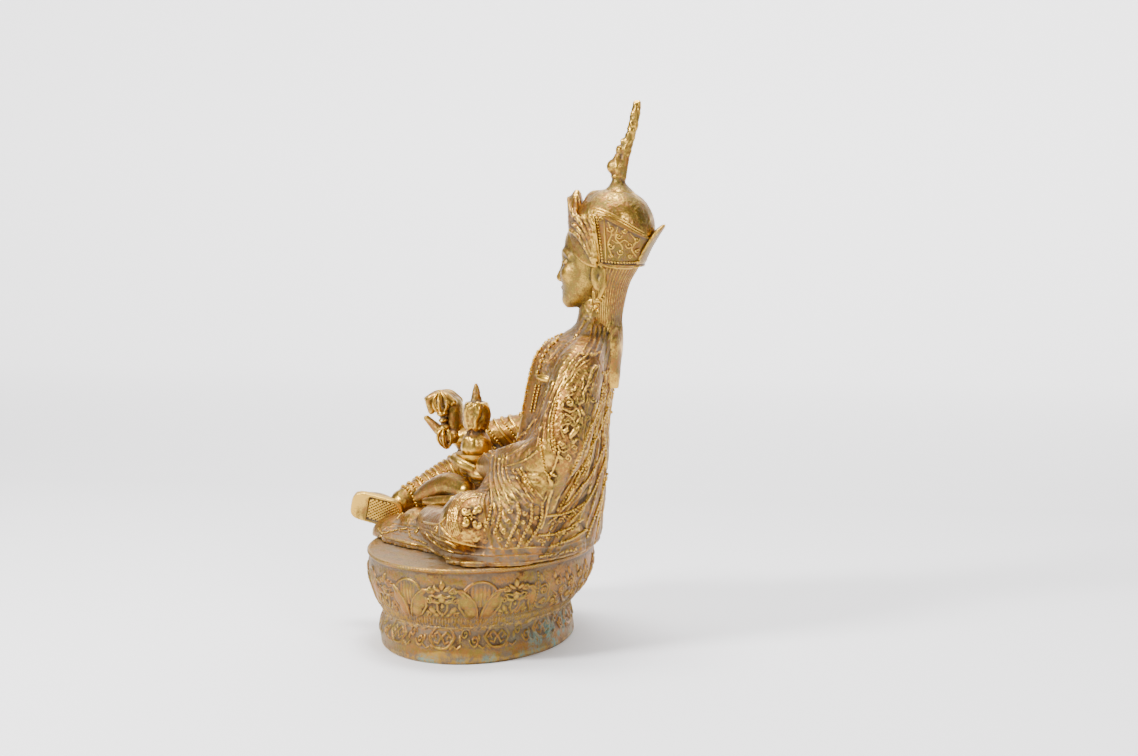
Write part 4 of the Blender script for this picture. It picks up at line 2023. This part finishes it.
def hat_ornament(trim):
    """The hat's folds, bead rows and panels, and the earrings, alike on both sides."""
    trim.seen_row([(596.4, 214), (598, 226), (600, 238), (602.6, 261)], 0.7, 1.6)
    trim.seen_wire([(592.6, 210), (594.6, 224), (596.4, 238), (599.6, 261.6)], 0.7)
    trim.seen_wire([(604, 219), (604.6, 232), (605.4, 246), (606, 260)], 0.6)
    for drop in (0, 2.8):
        trim.seen_wire([(592, 207.6 + drop), (603, 210.4 + drop), (625, 221.6 + drop), (644, 232.6 + drop)], 0.75)
    trim.seen_row([(606, 261.4), (615, 262.4), (623, 262.6), (632, 262.2), (639, 261)], 0.7, 1.6)
    trim.seen_wire([(605, 266), (615, 267.4), (623, 267.8), (632, 267.4), (640, 266)], 0.9)
    trim.seen_curl((600.6, 219.4), 1.6, 1.2, 0, 1, 0.5)
    trim.seen_row([(604, 296), (598, 305), (591.6, 313)], 0.9, 2.0)
    for pixels in PANEL_STEMS:
        trim.seen_wire(pixels, 0.6, 0)
    for pixel, reach, hand in PANEL_CURLS:
        trim.seen_curl(pixel, reach, 1.3, 90 + 80 * hand, hand, 0.6)
    for pixel in EARRING:
        found = trim.ground.behind(pixel)
        if found is not None:
            trim.leaf(found[0], np.array((0, 0.3, 1)), 1.7, 1.3, 1.2)


EARRING = [(592, 303), (595.6, 307), (590.6, 309), (597.6, 300.6), (593.6, 313), (589, 316), (598, 311)]


def fold_line(fold, side, low, high):
    """The line of one of the cloak's folds, to the statue's left (1) or right (-1)."""
    table = softened(CLOAK)
    points = []
    for level in np.arange(high, low, -3.0):
        behind = max(fold, 0.01) / fold_count() * TAU
        for _ in range(12):
            sweep = CLOAK_SWEEP * (119 - level) * float(ease(behind, 0, 0.8))
            behind = (fold + sweep) / fold_count() * TAU
        middle_x, middle_y, half_width, half_depth = (np.interp(level, table[:, 0], table[:, k]) for k in range(1, 5))
        angle = math.pi / 2 - side * behind
        points.append([middle_x + half_width * math.cos(angle), middle_y + half_depth * math.sin(angle), level])
    return np.array(points)


def far_side(trim):
    """The back and the right side carry the same rows and bands, set out evenly."""
    for fold in (1, 2, 3, 4, 5):
        trim.row(fold_line(fold, -1, 60, 164 - 4 * fold))
    for fold in (1.4, 2.5, 3.5):
        trim.row(fold_line(fold, -1, 62, 120), 0.7, 1.7)
    for fold in (0.02, 1):
        trim.row(fold_line(fold, 1, 62, 140))
    sleeve = evenly(curve_through([(-37, 66, 166), (-48, 64, 154), (-57, 60, 138), (-62, 50, 118)], 8), 1.0)
    for across in (-6.4, 6.4):
        edge = trim.laid(sleeve, [(s, across) for s in range(2, 50, 2)])
        trim.wire(edge, 0.9, 0, 0.4)
    trim.row(trim.laid(sleeve, [(s, -8.6) for s in range(2, 50, 2)]))
    trim.garland(sleeve, 10, 0.8)
    hem = evenly(curve_through(HEM + HEM[:1], 8), 2.0)
    for rise, radius in ((3.2, 0.8), (7.5, 0.7)):
        share = 1.0 if rise < 4 else 0.84
        away = hem - [0, HEM_MIDDLE_Y]
        ring = np.hstack([away * share + [0, HEM_MIDDLE_Y], np.full((len(hem), 1), SEAT_LEVEL + rise)])
        seen = (ring[:, 0] < 6) | (ring[:, 1] > 50)
        for run in np.split(ring, np.flatnonzero(~seen)):
            if len(run) > 4:
                trim.row(run, radius, 2.2 * radius)
    for tip in ((-62, -10, 70), (-64, -2, 72), (-66, 8, 70), (-66, 18, 68), (-58, -20, 68)):
        start = np.array((-44, 22, 96))
        middle = (start + tip) / 2 + (-7, -1, 6)
        trim.row(curve_through([start, middle, tip], 8))


def front_dress(trim):
    """Lapels, necklaces and the waist sash on the side away from the camera."""
    for side in SIDES:
        for across in (10, 13, 16):
            lapel = [(side * (across - 3), 44, 172), (side * across, 34, 158), (side * (across + 1), 28, 140)]
            trim.wire(curve_through([*lapel, (side * (across - 2), 26, 118)], 8), 0.8, 0, 0.5)
        trim.row(curve_through([(side * 19, 38, 168), (side * 20, 32, 152), (side * 20, 28, 130)], 8))
    for drop, radius in ((0, 0.9), (7, 1.0), (15, 1.1)):
        turn = np.linspace(-1.2, 1.2, 30)
        reach = 11 + drop * 0.35
        chain = np.stack([reach * np.sin(turn), 60 - 18 * np.cos(turn) - drop * 0.4, 170 - drop - 7 * np.cos(turn)], axis=1)
        trim.row(chain, radius, 2.2 * radius)
    trim.leaf(np.array((0, 28, 145)), np.array((0, 0, 1.0)), 4.6, 4.2, 1.6)
    for k in range(8):
        a = TAU * k / 8
        trim.leaf(np.array((6.4 * math.cos(a), 28, 145 + 6.4 * math.sin(a))), np.array((math.cos(a), 0, math.sin(a))), 1.6, 1.2, 1.0)
    for level in (110, 113, 116):
        sash = [(14 * s, 27 + 0.02 * (14 * s) ** 2, level - 0.01 * (14 * s) ** 2) for s in np.linspace(-1.4, 1.4, 12)]
        trim.wire(np.array(sash), 1.0, 0, 0.4)


def ring_on(axis, share, lean=0.0):
    """A closed line round a limb at a share of its length, leaning forwards at its top."""
    path = evenly(curve_through(np.asarray(axis, float), 8), 1.0)
    k = int(share * (len(path) - 2))
    middle, way = path[k, :3], path[k + 1, :3] - path[k, :3]
    side = np.cross(way, (0, 0, 1))
    side /= np.linalg.norm(side)
    other = np.cross(way, side) / np.linalg.norm(way)
    angles = np.linspace(0, TAU, 40)[:, None]
    reach = path[k, 3] + 0.6
    ring = middle + reach * (np.cos(angles) * side + np.sin(angles) * other)
    ring[:, 1] -= lean * (ring[:, 2] - middle[2])
    return ring


def limb_bands(trim, axis, bands, lean=0.0):
    """Rings of beads and wires round a limb, from (share, radius, kind) rows."""
    for share, radius, beaded in bands:
        line = ring_on(axis, share, lean)
        if beaded:
            trim.row(line, radius, 2.3 * radius)
        else:
            trim.wire(line, radius)


def seat_cloth(trim):
    """The cloth's edge, fringe and swirls on the plinth's top."""
    trim.seen_row([(379, 528.6), (383, 533.6), (393, 531), (407, 528.6)], 0.6, 1.4)
    trim.seen_row([(409, 531), (411, 538), (418.6, 541), (427, 543.4)], 0.6, 1.4)
    trim.seen_wire([(421, 520), (427, 523), (438.6, 524), (445, 518)], 0.7)
    trim.seen_wire([(380, 536), (394, 539.6), (410, 543.6), (427, 547.6), (438, 554), (449, 559)], 0.9)
    trim.seen_wire([(431, 531), (437, 538), (447, 541.6), (456, 546)], 0.8)
    trim.seen_wire([(425, 532), (433, 541), (443, 548), (454, 552.6)], 0.8)
    trim.seen_wire([(440, 520), (443, 529), (450, 536), (458, 540.6)], 0.8)
    trim.seen_curl((417, 531), 2.6, 1.3, 0, 1, 0.7)
    trim.seen_curl((437, 530), 2.4, 1.3, 180, -1, 0.7)


def chest_ornament(trim):
    """The necklace plaque and the pitted collar pattern."""
    trim.seen_leaf((537, 376.6), (549.6, 380.6), 2.4, 2.0)
    trim.seen_row([(557, 340), (547, 350), (541.4, 361), (538.6, 372)], 1.1, 3.0)


# Finishes
BROAD_SHARE = 1.1
PIT_DEPTH = 0.0007
RUBBED = [
    ([(54, 66, 158), (60, 64, 140), (61, 58, 118), (58, 50, 98)], 19),
    ([(70, 10, 78), (72, 12, 66)], 20),
    ([(56, 32, 88), (52, 40, 78)], 16),
    ([(26, 20, 98), (40, 30, 100)], 10),
    ([(82, 2, 13), (80, 10, 14)], 12),
]


def rubbed_share(points):
    """1 where hands have rubbed the dirt away, and 0 well away from there."""
    both = np.abs(points * [1, 0, 0]) + points * [0, 1, 1]
    share = np.zeros(len(points))
    for line, reach in RUBBED:
        share = np.maximum(share, Shell(both, []).nearness(line, reach))
    return ease(share, 0.05, 0.75)


def mark_wear(made, dusty=0.3, coppery=0.5):
    """Stores where dirt, coppery stain and verdigris lie, as attributes for the finish."""
    mesh = made.data
    points = mesh_points(mesh)
    x, y, z = points.T
    patches = grain(points, 8) + 0.7 * grain(points + 31, 3) + 0.4 * grain(points + 7, 1.3)
    near_seat = bell(z, SEAT_LEVEL + 1, 7)
    rubbed = rubbed_share(points)
    dust = dusty * (1 - 0.9 * rubbed) + (0.24 - 0.14 * rubbed) * patches
    low_dust = bell(z, WAIST_LEVEL + 1, 4) + 0.9 * ease(9 - z, 0, 5) * ease(grain(points + 3, 5), -0.2, 0.4)
    dust = np.clip(dust + 0.5 * near_seat * (z > SEAT_LEVEL - 2) + low_dust, 0, 1)
    copper = np.clip(coppery + 0.5 * grain(points + 57, 13) + 0.25 * grain(points, 4), 0, 1)
    low_rim = ease(7 - z, 0, 6) * ease(grain(points + 11, 7) + 0.3 * (y / 60), 0.1, 0.5)
    low_back = bell(y, 52, 14) * bell(z, 9, 9) * ease(grain(points + 5, 4), -0.1, 0.4) * (x > 0)
    green = np.clip(0.8 * low_rim + 0.9 * low_back, 0, 1)
    for name, values in (("dirt", dust), ("stain", copper), ("verdigris", green)):
        attribute = mesh.attributes.new(name, "FLOAT", "POINT")
        attribute.data.foreach_set("value", values.astype(np.float32))


class NodeDesk:
    """Short ways to add and join the nodes of one material."""

    def __init__(self, material):
        self.nodes = material.node_tree.nodes
        self.links = material.node_tree.links

    def attribute(self, name):
        node = self.nodes.new("ShaderNodeAttribute")
        node.attribute_name = name
        return node.outputs["Fac"]

    def math(self, operation, first, second, third=None):
        node = self.nodes.new("ShaderNodeMath")
        node.operation = operation
        for socket, value in zip(node.inputs, (first, second, third)):
            self.plug(socket, value)
        return node.outputs[0]

    def plug(self, socket, value):
        if value is None:
            return
        if isinstance(value, bpy.types.NodeSocket):
            self.links.new(value, socket)
        else:
            socket.default_value = value

    def span(self, value, low, high, to_low=0.0, to_high=1.0):
        node = self.nodes.new("ShaderNodeMapRange")
        for name, given in (("Value", value), ("From Min", low), ("From Max", high), ("To Min", to_low), ("To Max", to_high)):
            self.plug(node.inputs[name], given)
        return node.outputs[0]

    def blend(self, share, first, second):
        node = self.nodes.new("ShaderNodeMix")
        node.data_type = "RGBA"
        self.plug(node.inputs[0], share)
        self.plug(node.inputs[6], first if isinstance(first, bpy.types.NodeSocket) else (*first, 1))
        self.plug(node.inputs[7], second if isinstance(second, bpy.types.NodeSocket) else (*second, 1))
        return node.outputs[2]

    def noise(self, scale, detail):
        node = self.nodes.new("ShaderNodeTexNoise")
        node.inputs["Scale"].default_value = scale
        node.inputs["Detail"].default_value = detail
        self.links.new(self.place(), node.inputs["Vector"])
        return node.outputs["Fac"]

    def place(self):
        return self.nodes.new("ShaderNodeTexCoord").outputs["Object"]


def brass_finish(name, shine=0.9, gloss=0.17):
    """Worn cast brass: polished on high places, stained and dirty in hollows."""
    if name in bpy.data.materials:
        return bpy.data.materials[name]
    material = bpy.data.materials.new(name)
    material.use_nodes = True
    desk = NodeDesk(material)
    shader = desk.nodes["Principled BSDF"]
    depth = desk.math("MULTIPLY_ADD", desk.attribute("hollow_broad"), BROAD_SHARE, desk.attribute("hollow_fine"))
    for lumps, swing in ((420, 0.12), (1300, 0.16)):
        depth = desk.math("ADD", desk.span(desk.noise(lumps, 4), 0.34, 0.66, -swing, swing), depth)
    high = desk.span(desk.math("ADD", depth, desk.attribute("dirt")), 0.05, -0.42, 0.0, shine)
    low = desk.span(depth, 0.05, 0.42, 0.0, 0.85)
    mottle = desk.span(desk.noise(420, 8), 0.35, 0.65, -0.6, 0.5)
    stain = desk.span(desk.math("ADD", desk.attribute("stain"), mottle), 0.0, 1.0)
    tone = desk.blend(stain, colour("olive"), colour("coppery"))
    tone = desk.blend(high, tone, colour("polished"))
    tone = desk.blend(low, tone, colour("tarnish"))
    film = desk.math("MULTIPLY", desk.span(desk.noise(900, 8), 0.42, 0.62), desk.span(depth, -0.3, 0.05))
    caked = desk.math("MAXIMUM", film, desk.span(depth, -0.02, 0.2))
    caked = desk.span(desk.math("MULTIPLY", desk.attribute("dirt"), caked), 0.1, 0.75)
    thick = desk.math("MULTIPLY", desk.span(desk.attribute("dirt"), 0.65, 1.0), desk.span(desk.noise(500, 6), 0.4, 0.6))
    caked = desk.math("MAXIMUM", caked, thick)
    tone = desk.blend(caked, tone, colour("dirt"))
    crust = desk.math("MULTIPLY", desk.attribute("verdigris"), desk.span(desk.noise(700, 3), 0.35, 0.6))
    tone = desk.blend(crust, tone, colour("verdigris"))
    dull = desk.math("MAXIMUM", caked, crust)
    desk.plug(shader.inputs["Base Color"], tone)
    desk.plug(shader.inputs["Metallic"], desk.span(dull, 0.0, 1.0, 1.0, 0.1))
    rough = desk.math("MAXIMUM", desk.span(high, 0.0, 1.0, 0.46, gloss), desk.span(dull, 0.0, 1.0, 0.3, 0.85))
    desk.plug(shader.inputs["Roughness"], rough)
    bump = desk.nodes.new("ShaderNodeBump")
    pitting = bpy.context.scene.statue_finish.pitting
    desk.plug(bump.inputs["Strength"], desk.span(high, 0.0, 1.0, pitting, pitting / 4))
    bump.inputs["Distance"].default_value = PIT_DEPTH
    desk.plug(bump.inputs["Height"], desk.noise(700, 8))
    desk.plug(shader.inputs["Normal"], bump.outputs[0])
    return material


# Stage
SENSOR_WIDTH = 36
SWEEP_FRONT = 1.6
SWEEP_BACK = -1.5
SWEEP_BEND = 0.9
SWEEP_TOP = 2.4
SWEEP_HALF_WIDTH = 2.6
BACKDROP_GLOW = 2.2
LAMPS = (
    ("key", (0.85, -0.85, 0.95), 0.34, 40),
    ("fill", (0.95, 1.0, 0.7), 0.3, 11),
    ("top", (-0.1, 0.0, 1.3), 0.4, 17),
    ("sweep", (-0.6, 0.0, 2.1), 2.4, 50),
)


def build_stage():
    chosen = bpy.context.scene.statue_stage
    bend = np.linspace(0, math.pi / 2, 24)
    side = [(SWEEP_FRONT, 0), *zip(SWEEP_BACK - SWEEP_BEND * np.sin(bend), SWEEP_BEND * (1 - np.cos(bend)))]
    side.append((SWEEP_BACK - SWEEP_BEND, SWEEP_TOP))
    points = [(x, y, z) for x, z in side for y in (-SWEEP_HALF_WIDTH, SWEEP_HALF_WIDTH)]
    faces = [(2 * k, 2 * k + 2, 2 * k + 3, 2 * k + 1) for k in range(len(side) - 1)]
    floor = bpy.data.meshes.new("floor")
    floor.from_pydata(points, [], [face[::-1] for face in faces])
    floor.shade_smooth()
    ground = bpy.data.objects.new("floor", floor)
    bpy.context.scene.collection.objects.link(ground)
    material = bpy.data.materials.new("pale_floor")
    material.use_nodes = True
    shader = material.node_tree.nodes["Principled BSDF"]
    shader.inputs["Base Color"].default_value = (*chosen.floor_colour, 1)
    shader.inputs["Roughness"].default_value = 0.95
    shader.inputs["Emission Color"].default_value = (*chosen.floor_colour, 1)
    desk = NodeDesk(material)
    far = desk.nodes.new("ShaderNodeSeparateXYZ")
    desk.links.new(desk.place(), far.inputs[0])
    desk.plug(shader.inputs["Emission Strength"], desk.span(far.outputs[0], -0.5, -2.2, 0.0, BACKDROP_GLOW))
    floor.materials.append(material)
    camera = bpy.data.cameras.new("camera")
    camera.sensor_width = SENSOR_WIDTH
    camera.lens = FOCAL_PIXELS / PHOTO_SIZE[0] * SENSOR_WIDTH
    eye = bpy.data.objects.new("camera", camera)
    bpy.context.scene.collection.objects.link(eye)
    place, aim = Vector(CAMERA_PLACE) * MILLIMETRE, Vector(CAMERA_AIM) * MILLIMETRE
    eye.location = place
    eye.rotation_mode = "QUATERNION"
    eye.rotation_quaternion = (aim - place).to_track_quat("-Z", "Y")
    bpy.context.scene.camera = eye
    world = bpy.data.worlds.new("studio")
    bpy.context.scene.world = world
    world.use_nodes = True
    world.node_tree.nodes["Background"].inputs["Color"].default_value = (0.9, 0.9, 0.93, 1)
    world.node_tree.nodes["Background"].inputs["Strength"].default_value = chosen.room_light
    for name, place, size, power in LAMPS:
        light = bpy.data.lights.new(name, "AREA")
        light.size = size
        light.energy = power * chosen.lamp_share
        lamp = bpy.data.objects.new(name, light)
        bpy.context.scene.collection.objects.link(lamp)
        lamp.location = place
        lamp.rotation_mode = "QUATERNION"
        lamp.rotation_quaternion = (Vector((0, 0.03, 0.12)) - Vector(place)).to_track_quat("-Z", "Y")


# Operators, one for each group of pieces
class STATUE_OT_plinth(Operator):
    """Builds the plinth's foot and its ring of petals"""

    bl_idname = "statue.plinth"
    bl_label = "Plinth"

    def execute(self, context):
        build_plinth()
        return {"FINISHED"}


class STATUE_OT_robe(Operator):
    """Builds the skirt, the legs under it and the cloak"""

    bl_idname = "statue.robe"
    bl_label = "Robe"

    def execute(self, context):
        build_robe()
        return {"FINISHED"}


class STATUE_OT_head(Operator):
    """Builds the head and the hair down the back"""

    bl_idname = "statue.head"
    bl_label = "Head and hair"

    def execute(self, context):
        build_head()
        return {"FINISHED"}


class STATUE_OT_hat(Operator):
    """Builds the lotus hat with its leaves, finial and feather"""

    bl_idname = "statue.hat"
    bl_label = "Hat"

    def execute(self, context):
        build_hat()
        return {"FINISHED"}


class STATUE_OT_hands(Operator):
    """Builds the hands, what they hold and the boots"""

    bl_idname = "statue.hands"
    bl_label = "Hands and boots"

    def execute(self, context):
        build_hands()
        return {"FINISHED"}


class STATUE_OT_trim(Operator):
    """Lays beads, ridges, leaves and scrolls on the robe and the hat"""

    bl_idname = "statue.trim"
    bl_label = "Beads and scrolls"

    def execute(self, context):
        build_trim()
        return {"FINISHED"}


class STATUE_OT_stage(Operator):
    """Sets up the floor, the camera and the lamps"""

    bl_idname = "statue.stage"
    bl_label = "Stage"

    def execute(self, context):
        build_stage()
        return {"FINISHED"}


OPERATORS = (
    STATUE_OT_plinth,
    STATUE_OT_robe,
    STATUE_OT_head,
    STATUE_OT_hat,
    STATUE_OT_hands,
    STATUE_OT_trim,
    STATUE_OT_stage,
)
SETTINGS = {
    "statue_sizes": StatueSizes,
    "statue_finish": StatueFinish,
    "statue_stage": StatueStage,
}


class STATUE_PT_builder(Panel):
    """Lists the statue's sizes and colours and the steps that build it"""

    bl_label = "Lotus teacher statue"
    bl_space_type = "VIEW_3D"
    bl_region_type = "UI"
    bl_category = "Statue"

    def draw(self, context):
        for setting, group in SETTINGS.items():
            box = self.layout.box()
            for name in group.__annotations__:
                box.prop(getattr(context.scene, setting), name)
        column = self.layout.column()
        for operator in OPERATORS:
            column.operator(operator.bl_idname)


def register():
    for group in (*SETTINGS.values(), *OPERATORS, STATUE_PT_builder):
        bpy.utils.register_class(group)
    for setting, group in SETTINGS.items():
        setattr(bpy.types.Scene, setting, PointerProperty(type=group))


def unregister():
    for setting in SETTINGS:
        delattr(bpy.types.Scene, setting)
    for group in (STATUE_PT_builder, *reversed(OPERATORS), *SETTINGS.values()):
        bpy.utils.unregister_class(group)


def main():
    register()
    bpy.ops.statue.plinth()
    bpy.ops.statue.robe()
    bpy.ops.statue.head()
    bpy.ops.statue.hat()
    bpy.ops.statue.hands()
    bpy.ops.statue.trim()
    bpy.ops.statue.stage()


if __name__ == "__main__":
    main()
